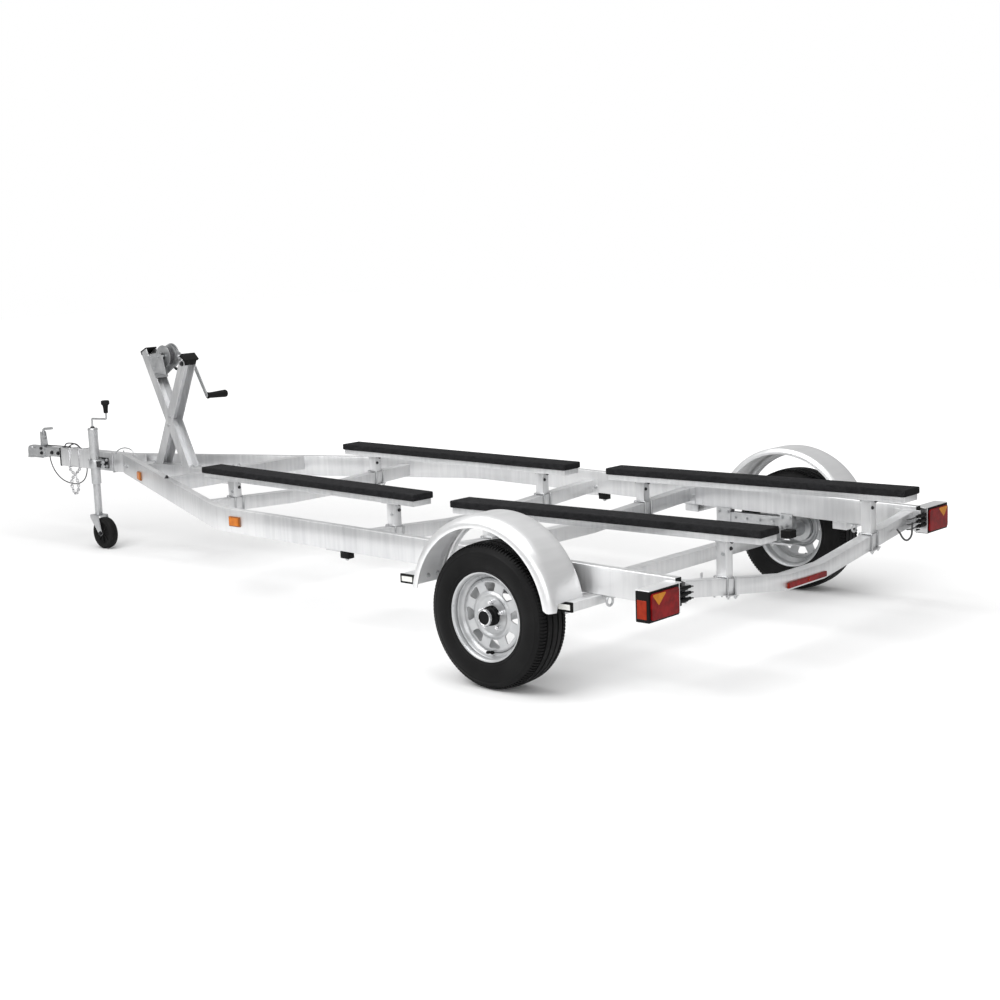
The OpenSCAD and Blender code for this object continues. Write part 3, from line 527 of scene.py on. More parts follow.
def boolean(piece, cutter):
    """Cuts one piece with another, which isn't kept."""
    cut = piece.modifiers.new("cut", "BOOLEAN")
    cut.object = cutter
    cut.solver = "EXACT"
    bpy.context.view_layer.update()
    shown = piece.evaluated_get(bpy.context.evaluated_depsgraph_get())
    mesh = bpy.data.meshes.new_from_object(shown)
    piece.modifiers.clear()
    piece.data = mesh
    bpy.data.objects.remove(cutter)
    tidy = bmesh.new()
    tidy.from_mesh(mesh)
    bmesh.ops.dissolve_limit(tidy, angle_limit=math.radians(1), verts=tidy.verts, edges=tidy.edges)
    tidy.to_mesh(mesh)
    tidy.free()
    mesh.shade_smooth()
    return piece


def cutter_from(shape):
    """An object that only cuts others."""
    bmesh.ops.recalc_face_normals(shape, faces=shape.faces)
    mesh = bpy.data.meshes.new("cutter")
    shape.to_mesh(mesh)
    shape.free()
    cutter = bpy.data.objects.new("cutter", mesh)
    bpy.context.scene.collection.objects.link(cutter)
    return cutter


def outline(corners, radius, steps=6):
    """A closed outline with its corners rounded."""
    points = []
    for i, corner in enumerate(corners):
        corner = Vector(corner)
        before = (Vector(corners[i - 1]) - corner).normalized()
        after = (Vector(corners[(i + 1) % len(corners)]) - corner).normalized()
        reach = radius / math.tan(before.angle(after) / 2)
        start, end = corner + before * reach, corner + after * reach
        middle = corner + (before + after).normalized() * radius / math.sin(before.angle(after) / 2)
        for k in range(steps + 1):
            spoke = (start - middle).lerp(end - middle, k / steps)
            points.append(middle + spoke.normalized() * radius)
    return points


shape = bmesh.new()
lathe(shape, [(159.5, 1203), (158, 1210), (153, 1213.5), (146, 1214.5), (128, 1213), (106, 1212.5),
    (102, 1214), (97, 1219),
    (92, 1221), (86, 1219), (80, 1213.5), (76, 1212.5), (42.6, 1212.5), (42.6, 1207), (76, 1207),
    (82, 1208), (88, 1214), (92, 1215.5), (96, 1213.5), (101, 1208), (106, 1206.5), (128, 1207),
    (146, 1208.5), (151, 1207), (154, 1202), (155, 1180), (157, 1180)], WHEEL, 128)
left_disc = built("left_rim_disc", shape, rim_paint, body="left_wheel")
windows = bmesh.new()
for i in range(8):
    turn = math.radians(45 * i - 3)
    out = Vector((math.cos(turn), 0, math.sin(turn)))
    across = Vector((-math.sin(turn), 0, math.cos(turn)))
    ring = outline([(-17, 104), (17, 104), (35, 142), (-35, 142)], 9)
    prism(windows, [at(0, 1190, HUB_Z) + (across * u + out * v) / 1000 for u, v in ring], (0, 0.04, 0))
left_disc = boolean(left_disc, cutter_from(windows))
rounded(left_disc, 0.0022, 40)
other_side(left_disc, "right_rim_disc", body="right_wheel")

shape = bmesh.new()
rod(shape, at(0, 1218, 155), at(0, 1226, 157), 0.0085, segments=24)
rod(shape, at(0, 1226, 157), at(0, 1250, 163), 0.0055, segments=24)
rod(shape, at(0, 1243, 161), at(0, 1254, 164), 0.0066, segments=16)
both_sides("left_valve", shape, rubber, body="left_wheel", width=0.0008)

# ---- Tyres ----
# Radial trailer tyres: round sidewalls with raised rings, four grooves round the tread, and slots cut
# across its shoulders.
shoulder = [(187, 74), (187.5, 79), (189, 81.5), (196, 84.5), (200, 86), (203, 88.6), (206, 88.9),
    (208, 88.2),
    (213, 90.8), (222, 94), (233, 96.4), (245, 97.4), (257, 96.9), (267, 95), (276, 92), (279, 92.3),
    (281.5, 90.2), (289, 86.5), (295, 83.2), (297, 83.6), (299.5, 80.6), (304, 77.4), (307.5, 74),
    (309.8, 69.5)]
ribs = []
for middle in (48, 17):
    edge = 315 - 0.0012 * middle**2
    ribs += [(edge - 0.1, middle + 4.2), (edge - 7.5, middle + 3), (edge - 7.5, middle - 3),
        (edge + 0.1, middle - 4.2)]
half = shoulder + [(311, 62)] + ribs + [(315, 6)]
profile = [(r, HUB_Y - h) for r, h in half] + [(r, HUB_Y + h) for r, h in reversed(half)]
STEPS, SLOT_R, SLOT_SIDE, SLOT_DEPTH = 252, 0.301, 0.053, 0.0055
shape = bmesh.new()
lathe(shape, profile, WHEEL, STEPS)
shape.faces.ensure_lookup_table()
hub_point = at(0, HUB_Y, HUB_Z)
slots = []
for face in shape.faces:
    middle = face.calc_center_median() - hub_point
    radius, side = math.hypot(middle.x, middle.z), abs(middle.y)
    step = int(math.atan2(middle.z, middle.x) / math.tau * STEPS + STEPS)
    if radius > SLOT_R and side > SLOT_SIDE and step % 2 == 0:
        slots.append(face)
pushed = bmesh.ops.extrude_face_region(shape, geom=slots)["geom"]
bmesh.ops.delete(shape, geom=slots, context="FACES_ONLY")
for v in pushed:
    if isinstance(v, bmesh.types.BMVert):
        inward = hub_point - v.co
        inward.y = 0
        v.co += inward.normalized() * SLOT_DEPTH

tread_rubber = Finish("tyre_rubber", "tyre_rubber", specular_ior_level=0.12)
dust = tread_rubber.noise(6, 6)
rings = tread_rubber.noise(5, 2)
tread_rubber.colour(dust, (0.004, 0.004, 0.0042), (0.009, 0.009, 0.0092))
tread_rubber.rough(rings, 0.5, 0.68)
tread_rubber.bump(tread_rubber.noise(300, 4), 0.0004, 0.4)
both_sides("left_road_tyre", shape, tread_rubber, "left_tyre", body="left_wheel", sharp=35)

# ---- Mudguards ----
# Rolled aluminium guards with a full round outer shoulder and a beaded edge. Their rear corners are
# rounded, and bolts hold them to the outriggers.
crown = [(377, 1058.8), (379, 1056.2), (385, 1055.2), (393, 1056.6), (400, 1060.4), (406, 1067), (409, 1077),
    (409, 1110), (409, 1150), (409, 1192.5), (409, 1212), (408, 1228), (405.4, 1243), (400.5, 1255.5),
    (393, 1265), (384, 1271), (374, 1274), (361.5, 1275), (358.6, 1273.4), (358.6, 1270.6), (361.5, 1269.4),
    (366, 1270.9)]
inside = [(381, 1268.2), (390, 1262.6), (398, 1253.6), (402.6, 1242), (405.3, 1227.5), (406.4, 1212),
    (406.4, 1192.5), (406.4, 1150), (406.4, 1110), (406.4, 1078), (403.8, 1069), (398.4, 1062.8),
    (392, 1059.4), (385, 1058), (380.4, 1059.6)]
GUARD_X, GUARD_Z, GUARD_R, GUARD_IN = 24, 335, 409, 406.4
HEM_R, HEM_Y, CORNER = 358, 1262, 30
guard_skin = Finish("mudguard_aluminium", "mudguard_aluminium", metallic=0.8)
wipe = guard_skin.noise(2.4, 4)
streak = guard_skin.noise(30, 3, guard_skin.stretched((1, 0.08, 1)))
guard_skin.colour(wipe * 0.7 + streak * 0.3, (0.72, 0.724, 0.73), (0.88, 0.882, 0.886))
guard_skin.rough(wipe, 0.3, 0.42)
guard_skin.bump(streak, 0.0003, 0.15)

shape = bmesh.new()
SPANS = 112
rows = []
for r, y in crown + inside:
    hem = max(r - HEM_R, 0) if y > HEM_Y else CORNER
    curl = CORNER - math.sqrt(max(CORNER**2 - max(CORNER - hem, 0) ** 2, 0))
    last = (169.1 if y < 1236 else 174) - math.degrees(curl / GUARD_R)
    first = 9.5 + math.degrees(curl / GUARD_R) * 0.4
    angles = [math.radians(first + (last - first) * k / SPANS) for k in range(SPANS + 1)]
    rows.append([shape.verts.new(at(GUARD_X + r * math.cos(a), y,
        GUARD_Z + r * math.sin(a))) for a in angles])
for i, row in enumerate(rows):
    for k in range(SPANS):
        shape.faces.new((rows[i - 1][k], rows[i - 1][k + 1], row[k + 1], row[k]))
for k in (0, SPANS):
    ends = [row[k] for row in rows]
    n = len(crown)
    for i in range(n - 1):
        j = len(ends) - 1 - i
        if j - 1 > i + 1:
            shape.faces.new((ends[i], ends[i + 1], ends[j - 1], ends[j]))
block(shape, (424, 1077, 406.5), (480, 1178, 410.5))
both_sides("left_guard", shape, guard_skin, "left_mudguard", sharp=40)

shape = bmesh.new()
for a, y in ((14, 1100), (14, 1160), (165, 1100), (165, 1160), (50, 1085), (130, 1085)):
    a = math.radians(a)
    out = Vector((math.cos(a), 0, math.sin(a)))
    bolt(shape, at(GUARD_X + GUARD_IN * out.x, y, GUARD_Z + GUARD_IN * out.z), -out, 0.008, 0.01)
for x in (438, 466):
    bolt(shape, at(x, 1120, 410.5), (0, 0, 1), 0.008, 0.01)
both_sides("left_guard_bolts", shape, zinc)

# ---- Bunks ----
# Four boards wrapped in dark carpet, for the hull to rest on.
carpet = Finish("bunk_carpet", "bunk_carpet", roughness=0.97, specular_ior_level=0.1)
pile = carpet.noise(260, 4)
tuft = carpet.noise(34, 5)
carpet.colour(pile * 0.6 + tuft * 0.4, (0.006, 0.006, 0.0065), (0.026, 0.026, 0.0275))
carpet.bump(pile * 0.7 + tuft * 0.3, 0.003, 0.7)
for name in ("left_rear_bunk", "right_rear_bunk", "left_front_bunk", "right_front_bunk"):
    board = softened(name + "_carpet", carpet, name, width=0.006)
    board.modifiers["rounding"].segments = 4

# ---- Bunk bearers ----
# A flat aluminium bar under each carpeted board.
softened("rear_bearer_bars", aluminium, "rear_bunk_bearers", width=0.002)
softened("front_bearer_bars", aluminium, "front_bunk_bearers", width=0.002)

# ---- Bunk posts ----
# Eight square posts. Each has a bolted plate under the bearer, and two U-bolts hold its foot to the
# cross-member.
softened("rear_posts", aluminium, "rear_bunk_posts", width=0.0025)
softened("front_posts", aluminium, "front_bunk_posts", width=0.0025)

plates = bmesh.new()
heads = bmesh.new()
dark_heads = bmesh.new()
hoops = []
for name, (x, y, board_top) in {
    "rear": (-750, 590, 675.3), "axle": (560, 590, 665.4), "middle": (1215, 563.2, 670.1),
    "front": (2460, 529.3, 685.6),
}.items():
    under = board_top - 61
    for side in (-1, 1):
        mid = side * y
        block(plates, (x - 48, mid - 42, under - 6), (x + 48, mid + 42, under))
        for dx in (-38, 38):
            bolt(dark_heads, at(x + dx, mid, under - 6), (0, 0, -1), 0.008, 0.012)
        bolt(dark_heads, at(x - 25, mid - side * 10, under - 42), (-1, 0, 0), 0.0065)
        bolt(heads, at(x - 10, mid + side * 25, under - 60), (0, side, 0), 0.0065)
        for dy in (-27, 27):
            top = member_top(name, mid + dy) + 5
            low = top - 92
            hoops.append([at(x - 34, mid + dy, low), at(x - 34, mid + dy, top - 2),
                at(x - 31, mid + dy, top + 1), at(x + 31, mid + dy, top + 1), at(x + 34, mid + dy, top - 2),
                at(x + 34, mid + dy, low)])
            for dx in (-34, 34):
                bolt(heads, at(x + dx, mid + dy, member_top(name, mid + dy) - 74), (0, 0, -1), 0.0075)
        tilt = member_top(name, y + 10) - member_top(name, y)
        corners = [at(x + dx, mid + side * dy, member_top(name, y) - 70 + tilt * dy / 10 - 4)
            for dx, dy in ((-44, -40), (44, -40), (44, 40), (-44, 40))]
        prism(plates, corners, (0, 0, 0.004))
built("post_plates", plates, aluminium, width=0.001)
built("post_bolts", heads, zinc)
built("post_dark_bolts", dark_heads, dark_steel)
wires("post_u_bolts", hoops, 0.004, zinc)

# ---- Winch post ----
# Two aluminium channels crossed over the drawbar, bolted to a foot plate. The front channel has a black
# edge cap and a bent wire hook.
softened("winch_post_legs", aluminium, "winch_post", width=0.0018)
BASE = TOP - 42
LEG = Matrix.Translation(at(3498, 0, BASE)) @ Matrix.Rotation(math.radians(25.9), 4, "Y")


def leg(u, y, w):
    """A point in millimetres on the front leg: ahead of its middle, to the left, and up along it."""
    return LEG @ Vector((u / 1000, y / 1000, w / 1000))


def leg_block(shape, low, high):
    """Adds a box in the front leg's own directions."""
    low, high = Vector(low) / 1000, Vector(high) / 1000
    place = LEG @ Matrix.Translation((low + high) / 2) @ Matrix.Diagonal((*(high - low), 1))
    bmesh.ops.create_cube(shape, size=1, matrix=place)


shape = bmesh.new()
leg_block(shape, (-30.5, -41.5, 768), (30.5, 41.5, 776.5))
leg_block(shape, (24, -41.5, 750), (30.5, 41.5, 776.5))
built("winch_post_cap", shape, rubber, width=0.002)
shape = bmesh.new()
for x in (3452, 3806):
    for y in (-26, 26):
        bolt(shape, at(x, y, BASE + 6), (0, 0, 1), 0.009, 0.014)
cross = at(3631.7, 0, BASE + 275)
for side in (-1, 1):
    for dx, dz in ((-9, 26), (9, -26)):
        bolt(shape, cross + Vector((dx / 1000, side * 0.0402, dz / 1000)), (0, side, 0), 0.0075)
built("winch_post_bolts", shape, zinc)
wires("winch_post_hook", [[leg(29, 14, 566), leg(42, 14, 562), leg(45, 14, 554), leg(45, 14, 478),
    leg(42, 14, 470), leg(29, 14, 464)]], 0.003, zinc)

# ---- Winch ----
# A hand winch between two side plates: a drum with wound webbing, a toothed drum gear, and a pinion on
# the crank's shaft. A black pawl lever locks it.
softened("winch_side_plates", zinc, "winch_frame", width=0.0012)
DRUM = (-116, 675)
PINION = (DRUM[0] - 90.4 * math.cos(math.radians(29)), DRUM[1] - 90.4 * math.sin(math.radians(29)))


def toothed(shape, centre, radius, depth, teeth, y0, y1):
    """Adds a spur gear on a shaft across the front leg."""
    ring = []
    for i in range(teeth):
        for part, r in ((-0.32, radius - depth), (-0.16, radius), (0.16, radius), (0.32, radius - depth)):
            turn = (i + part) / teeth * math.tau
            ring.append(leg(centre[0] + r * math.cos(turn), y0, centre[1] + r * math.sin(turn)))
    prism(shape, ring, (0, (y1 - y0) / 1000, 0))


def cross_rod(shape, centre, y0, y1, radius, segments=48):
    """Adds a round bar across the front leg."""
    rod(shape, leg(centre[0], y0, centre[1]), leg(centre[0], y1, centre[1]), radius / 1000, segments=segments)


shape = bmesh.new()
toothed(shape, DRUM, 75, 5, 48, -62, -54)
cross_rod(shape, DRUM, -66, -62, 13)
cross_rod(shape, DRUM, -64, 52, 8)
for y in (-40, 5):
    cross_rod(shape, DRUM, y, y + 3, 67)
cross_rod(shape, DRUM, -40, 8, 22)
for i in range(5):
    turn = math.radians(36 + 72 * i)
    spot = (DRUM[0] + 45 * math.cos(turn), DRUM[1] + 45 * math.sin(turn))
    cross_rod(shape, spot, -63, -53, 5, 16)
built("drum_and_gear", shape, zinc, "winch_drum", body="drum", width=0.0006)

webbing = Finish("webbing", "black_rubber", roughness=0.85)
weave = webbing.node("TexWave", {"wave_type": "BANDS", "bands_direction": "Y"},
    {"Vector": webbing.place, "Scale": 160, "Distortion": 1.5})
webbing.colour(weave, (0.03, 0.03, 0.032), (0.09, 0.09, 0.095))
webbing.bump(weave, 0.0006, 0.6)
shape = bmesh.new()
for layer in range(6):
    cross_rod(shape, DRUM, 0.4 * (layer % 2) - 36, 4 - 0.4 * (layer % 2), 38 + 2.2 * layer, 64)
built("wound_webbing", shape, webbing, body="drum")

shape = bmesh.new()
toothed(shape, PINION, 18.5, 5, 12, -62, -54)
cross_rod(shape, PINION, -128, -24.5, 9)
cross_rod(shape, PINION, -134, -130, 11, 6)
built("pinion_shaft", shape, zinc, "winch_crank", body="crank", width=0.0005)

swing = math.radians(209.2)
down = Vector((math.sin(swing), 0, math.cos(swing)))
across = Vector((down.z, 0, -down.x))
pivot = leg(PINION[0], -124, PINION[1])
shape = bmesh.new()
arm = outline([(-14, -14), (14, -14), (11, 281), (-11, 281)], 10.5)
prism(shape, [pivot + (across * u + down * v) / 1000 for u, v in arm], (0, -0.006, 0))
grip_at = pivot + down * 0.27
rod(shape, grip_at - Vector((0, 0.006, 0)), grip_at - Vector((0, 0.154, 0)), 0.007)
built("crank_arm", shape, zinc, body="crank", width=0.0012)

shape = bmesh.new()
place = Matrix.Translation(grip_at) @ Matrix.Rotation(math.radians(90), 4, "X")
lathe(shape, [(7.2, 8), (18, 8), (20, 10), (19, 16), (17.6, 24), (18.4, 52), (20, 88), (21.6, 122),
    (22.6, 140), (22, 148), (19, 152), (12, 154), (0, 154.5), (0, 150), (7.2, 150)], place, 48)
built("crank_grip", shape, rubber, body="crank")

shape = bmesh.new()
for y, u, w in ((48, -44, 702), (48, -44, 632), (-48, -44, 702), (-48, -44, 612), (-48, -110, 600)):
    bolt(shape, leg(u, y, w), (0, math.copysign(1, y), 0), 0.0065)
built("winch_bolts", shape, zinc)
shape = bmesh.new()
lever = [(-150, 586), (-138, 594), (-196, 556), (-214, 540), (-206, 530), (-186, 540), (-146, 572)]
prism(shape, [leg(u, -30, w) for u, w in lever], (0, 0.012, 0))
built("winch_pawl", shape, dark_steel, width=0.002)

# ---- Bow stop ----
# A black rubber block on a steel pin through the rear leg's ears.
softened("bow_stop_block", rubber, "bow_stop", width=0.005)
shape = bmesh.new()
pin = at(3469.7, 0, 1179.3)
for side in (-1, 1):
    bolt(shape, pin + Vector((0, side * 0.0402, 0)), (0, side, 0), 0.011)
built("bow_stop_nuts", shape, dark_steel)

# ---- Jockey wheel ----
# A screw jack clamped to the drawbar's left side. An outer tube and a sliding inner tube stand over a
# pressed fork with a solid black wheel, and a cranked handle with a black knob tops it.
JACK = at(4330, 100, 0)


def jack(x, y, z):
    """A point in millimetres from the jack's centre line at floor level."""
    return JACK + Vector((x, y, z)) / 1000


shape = bmesh.new()
lathe(shape, [(23.1, 408), (29, 408), (30, 410), (30, 468), (30, 742), (31.5, 744), (31.5, 756), (29, 759),
    (11, 759), (11, 752), (23.1, 750)], Matrix.Translation(JACK), 64)
built("jack_outer_tube", shape, zinc, "jockey_outer_tube", sharp=40)
softened("jack_inner_tube", zinc, "jockey_inner_tube", body="jockey_stem", width=0.001)

shape = bmesh.new()
lathe(shape, [(30.1, 508), (37, 508), (38.5, 511), (38.5, 556), (37, 559), (30.1, 559)],
    Matrix.Translation(JACK), 64)
for z in (512, 545):
    block(shape, (4306, 41, z), (4354, 74, z + 12))
built("jack_clamp", shape, zinc, "jockey_clamp", width=0.002)
shape = bmesh.new()
block(shape, (4270, 40.5, 500), (4390, 47, 566))
block(shape, (4252, 84, 514), (4300, 116, 552))
for z in (520, 546):
    rod(shape, jack(-84, 0, z), jack(-20, 0, z), 0.006, segments=16)
built("jack_clamp_block", shape, dark_steel, width=0.002)
shape = bmesh.new()
for x in (4280, 4380):
    for z in (514, 552):
        bolt(shape, at(x, 47, z), (0, 1, 0), 0.008, 0.014)
for z in (520, 546):
    bolt(shape, jack(-78, 0, z), (-1, 0, 0), 0.010)
built("jack_clamp_bolts", shape, zinc)
wires("jack_clamp_bail", [[jack(41 * math.cos(a), 41 * math.sin(a), 562 - 5 * math.cos(a)) for a in
    [math.radians(10 * k - 100) for k in range(21)]]], 0.004, zinc)

softened("jack_fork", zinc, "jockey_fork", body="jockey_caster", width=0.0022)
shape = bmesh.new()
for side in (-1, 1):
    bolt(shape, jack(-55, side * 38, 99), (0, side, 0), 0.011, 0.012)
built("jack_axle_nuts", shape, dark_steel, body="jockey_caster")

shape = bmesh.new()
ROLLER = Matrix.Translation(jack(-55, 0, 99)) @ Matrix.Rotation(math.radians(-90), 4, "X")
tread = [(20, 29), (21, 19), (26, 16), (56, 16), (62, 18), (66, 22), (69, 26), (75, 27), (88, 27), (93, 25.5),
    (96.5, 20.5), (98.2, 13)]
lathe(shape, [(6.1, -31), (17, -31)] + [(r, -h) for r, h in tread] + [(99, 0)] + tread[::-1] + [(17, 31),
    (6.1, 31)], ROLLER, 96)
for side in (-1, 1):
    for i in range(8):
        turn = math.radians(45 * i)
        out = Vector((math.cos(turn), 0, math.sin(turn)))
        rib = Vector((-out.z, 0, out.x)) * 0.0022
        centre = jack(-55, side * 15, 99)
        corners = [centre + out * 0.020 - rib, centre + out * 0.063 - rib, centre + out * 0.063 + rib,
            centre + out * 0.020 + rib]
        prism(shape, corners, (0, side * 0.007, 0))
built("jack_roller", shape, rubber, "jockey_wheel", body="jockey_roller", sharp=40)

wires("jack_crank_rod", [[jack(0, 0, 747), jack(0, 0, 808), jack(-3, 0, 815), jack(-10, 0, 818),
    jack(-140, 0, 822), jack(-149, 0, 825), jack(-152, 0, 833), jack(-152, 0, 872)]], 0.0065, zinc,
    "jockey_crank", body="jockey_handle")
shape = bmesh.new()
lathe(shape, [(6.6, 746.5), (12, 746.5), (13, 749), (13, 766), (11, 769), (6.6, 769)],
    Matrix.Translation(JACK), 32)
built("jack_crank_collar", shape, dark_steel, body="jockey_handle", sharp=40)
shape = bmesh.new()
lathe(shape, [(0, 860), (12, 860), (13.5, 863), (14.5, 885), (17, 905), (20, 911), (25, 914), (26, 918),
    (26, 932), (24, 937), (18, 938.6), (0, 939)], Matrix.Translation(jack(-152, 0, 0)), 48)
built("jack_knob", shape, rubber, body="jockey_handle", sharp=40)

# ---- Coupler ----
# A pressed ball coupler: a round socket head with a rolled hem, a ribbed neck on a square shank, and
# through bolts. Its lever ends in a bent handle.
shape = bmesh.new()
BALL = at(5148, 0, 526.6)
lathe(shape, [(25.3, -12), (38, -12), (41, -11), (42, -8.5), (41, -6), (39, -4), (38.5, 6), (38, 36),
    (36, 50), (33, 60), (25, 65.5), (12, 68), (0, 68.5), (0, 25.3), (13, 21.8), (21, 14), (25.3, 0)],
    Matrix.Translation(BALL), 64)
neck = [(5148, 38), (5080, 36), (5030, 33), (4985, 31), (4985, -31), (5030, -33), (5080, -36), (5148, -38)]
prism(shape, [at(x, y, 522.6) for x, y in neck], (0, 0, 0.058))
ridge = [(5160, 22), (5060, 26), (4990, 24), (4990, -24), (5060, -26), (5160, -22)]
prism(shape, [at(x, y, 575) for x, y in ridge], (0, 0, 0.018))
for side in (-1, 1):
    block(shape, (4990, side * 37 - 4, 520), (5150, side * 37 + 4, 527))
    block(shape, (4985, side * 31 - 2.5, 524), (5060, side * 31 + 2.5, 598))
built("coupler_head", shape, zinc, "coupler", width=0.002)
shape = bmesh.new()
block(shape, (4795, -28, 534.6), (5050, 28, 584.6))
block(shape, (4800, -31, 580), (4990, 31, 590))
built("coupler_shank", shape, zinc, width=0.003)
shape = bmesh.new()
for x in (4830, 4900):
    for side in (-1, 1):
        bolt(shape, at(x, side * 28, 560), (0, side, 0), 0.010, 0.014)
bolt(shape, at(5010, 33.5, 552), (0, 1, 0), 0.009, 0.012)
bolt(shape, at(5010, -33.5, 552), (0, -1, 0), 0.009, 0.012)
bolt(shape, at(5014, 33.5, 582), (0, 1, 0), 0.008)
built("coupler_bolts", shape, dark_steel)

shape = bmesh.new()
for y in (-17, 13):
    side_view = outline([(5000, 580), (5042, 580), (5038, 690), (5016, 690)], 6, 3)
    prism(shape, [at(x, y, z) for x, z in side_view], (0, 0.004, 0))
block(shape, (5006, -15, 604), (5036, 15, 640))
for z in (600, 655):
    rod(shape, at(5022, -19, z), at(5022, 19, z), 0.006, segments=16)
built("coupler_lever", shape, zinc, "coupler_handle", width=0.001)
wires("coupler_lever_handle", [[at(5024, 0, 640), at(5024, 0, 688), at(5020, 0, 700), at(5008, 0, 707),
    at(4938, 0, 714), at(4920, 0, 716)]], 0.0085, zinc)

# ---- Tail lamps ----
# Two blank lamp units. Each has a black housing with a red rear lens, an amber turn segment in its outer
# upper corner, an orange-red side lens, and an aluminium cover plate on top.
def ribbed_plastic(name, slot, dark, light, clouds, ribs, **settings):
    """A clear coloured plastic with fine cells pressed in it."""
    made = Finish(name, slot, **settings)
    made.colour(made.noise(clouds, 2), dark, light)
    made.bump(made.node("TexVoronoi", {}, {"Vector": made.place, "Scale": ribs}), 0.0008, 0.3)
    return made


red = Finish("lamp_red", "lamp_red", coat_weight=0.1, roughness=0.3, specular_ior_level=0.1)
facet = red.node("TexVoronoi", {"feature": "DISTANCE_TO_EDGE"}, {"Vector": red.place, "Scale": 70})
glow = red.noise(26, 2)
red.colour(glow, (0.14, 0.001, 0.002), (0.26, 0.004, 0.006), 0.35, 0.65)
red.bump(facet, 0.0012, 0.35)
amber = ribbed_plastic("lamp_amber", "lamp_red", (0.5, 0.17, 0.004), (0.62, 0.24, 0.008), 40, 90,
    coat_weight=0.1, roughness=0.3, specular_ior_level=0.15)
side_red = ribbed_plastic("lamp_side_red", "lamp_red", (0.22, 0.014, 0.003), (0.31, 0.024, 0.005), 40, 90,
    coat_weight=0.1, roughness=0.3, specular_ior_level=0.1)

shape = bmesh.new()
block(shape, (-826, 1018, 384), (-759, 1218, 510))
both_sides("left_lamp_housing", shape, black_plastic, "left_tail_lamp", width=0.004)


def lamp_glass(name, finish, corners, x0, x1, radius):
    """A lens on the rear of a lamp, from an outline across and up."""
    lens = bmesh.new()
    prism(lens, [at(x0, y, z) for y, z in outline(corners, radius, 4)], at(x1, 0, 0) - at(x0, 0, 0))
    both_sides("left_" + name, lens, finish, width=0.002)


lamp_glass("lamp_red_lens", red, [(1027, 394), (1208, 394), (1208, 500), (1027, 500)], -834, -820, 12)
lamp_glass("lamp_amber_lens", amber, [(1112, 497), (1206, 497), (1164, 450)], -835, -828, 4)
shape = bmesh.new()
block(shape, (-814, 1210, 398), (-768, 1220, 474))
both_sides("left_lamp_side_lens", shape, side_red, width=0.002)

shape = bmesh.new()
block(shape, (-826, 1000, 510), (-757, 1216, 513))
block(shape, (-759, 1000, 410), (-755, 1150, 512))
block(shape, (-826, 1013, 388), (-757, 1017.5, 512))
both_sides("left_lamp_cover", shape, guard_skin, width=0.0012)

# ---- Wiring ----
# Black plugs and short leads behind the tail lamps, a loop of lead at the right one, and leads along the
# coupler.
shape = bmesh.new()
heads = bmesh.new()
for z in (432, 456, 480):
    rod(shape, at(-815, 1012, z), at(-815, 952, z), 0.0098, segments=20)
    rod(shape, at(-815, 952, z), at(-815, 928, z), 0.007, segments=20)
    bolt(heads, at(-786, 1013, z - 12), (0, -1, 0), 0.007)
both_sides("left_lamp_plugs", shape, black_plastic, width=0.0012)
both_sides("left_lamp_bolts", heads, dark_steel)
leads = [[at(-815, 930, z), at(-812, 908, z - 3), at(-800, 890, z - 8), at(-786, 884, z - 10)]
    for z in (432, 456, 480)]
wires("left_lamp_leads", leads, 0.003, sleeve, smooth=True)
wires("right_lamp_leads", [[Vector((p.x, -p.y, p.z)) for p in lead] for lead in leads], 0.003, sleeve,
    smooth=True)
wires("right_lamp_loop", [[at(-806, -904, 456), at(-812, -890, 430), at(-818, -874, 402), at(-820, -846, 386),
    at(-820, -814, 386), at(-816, -790, 402), at(-808, -780, 424), at(-790, -784, 440)]],
    0.0045, sleeve, smooth=True)
wires("coupler_leads", [[at(4990, 18, 596), at(4930, 22, 604), at(4860, 20, 606), at(4780, 14, 606),
    at(4720, 6, 604)], [at(4780, 10, 602), at(4740, 24, 626), at(4690, 26, 634), at(4640, 20, 628),
    at(4600, 8, 602)], [at(4760, -6, 602), at(4710, -4, 622), at(4660, 2, 626), at(4610, 4, 602)]],
    0.004, sleeve, smooth=True)

# ---- Marker lamps ----
# Amber side markers on the rails, pale reflectors in black frames on the outriggers' ends, and a red
# lamp bar in two halves on the rear member.
orange = ribbed_plastic("marker_orange", "marker_orange", (0.44, 0.115, 0.002), (0.56, 0.165, 0.003), 50, 120,
    coat_weight=0.15, roughness=0.35, specular_ior_level=0.3)
BEND_R = 500
bend = BEND_X - BEND_R * math.tan(math.atan(NOSE_TAPER / NOSE_RUN) / 2)
slant = Vector((NOSE_RUN, -NOSE_TAPER, 0)).normalized()
markers = bmesh.new()
frames = bmesh.new()
for side in (-1, 1):
    for x, along in ((bend - 84, Vector((1, 0, 0))), (3640, slant)):
        start = at(x, rail_out(x), rail_top(x) - (84 if x < BEND_X else 98))
        out = Vector((-along.y, along.x, 0)) if along.y else Vector((0, 1, 0))
        for shape, inset, depth0, depth1 in ((frames, 0, 0, 9), (markers, 5, 6, 13.5)):
            ring = outline([(inset, inset), (80 - inset, inset), (80 - inset, 50 - inset),
                (inset, 50 - inset)], 3, 3)
            spots = [start + (along * u + Vector((0, 0, v)) + out * depth0) / 1000 for u, v in ring]
            rise = out * (depth1 - depth0) / 1000
            prism(shape, [Vector((p.x, side * p.y, p.z)) for p in spots],
                Vector((rise.x, side * rise.y, rise.z)))
built("side_marker_lenses", markers, orange, "marker_lamps", width=0.0015)
dark_orange = Finish("marker_base", "marker_orange", roughness=0.4)
dark_orange.colour(dark_orange.noise(50, 2), (0.22, 0.07, 0.01), (0.3, 0.1, 0.015))
built("side_marker_bases", frames, dark_orange, width=0.001)

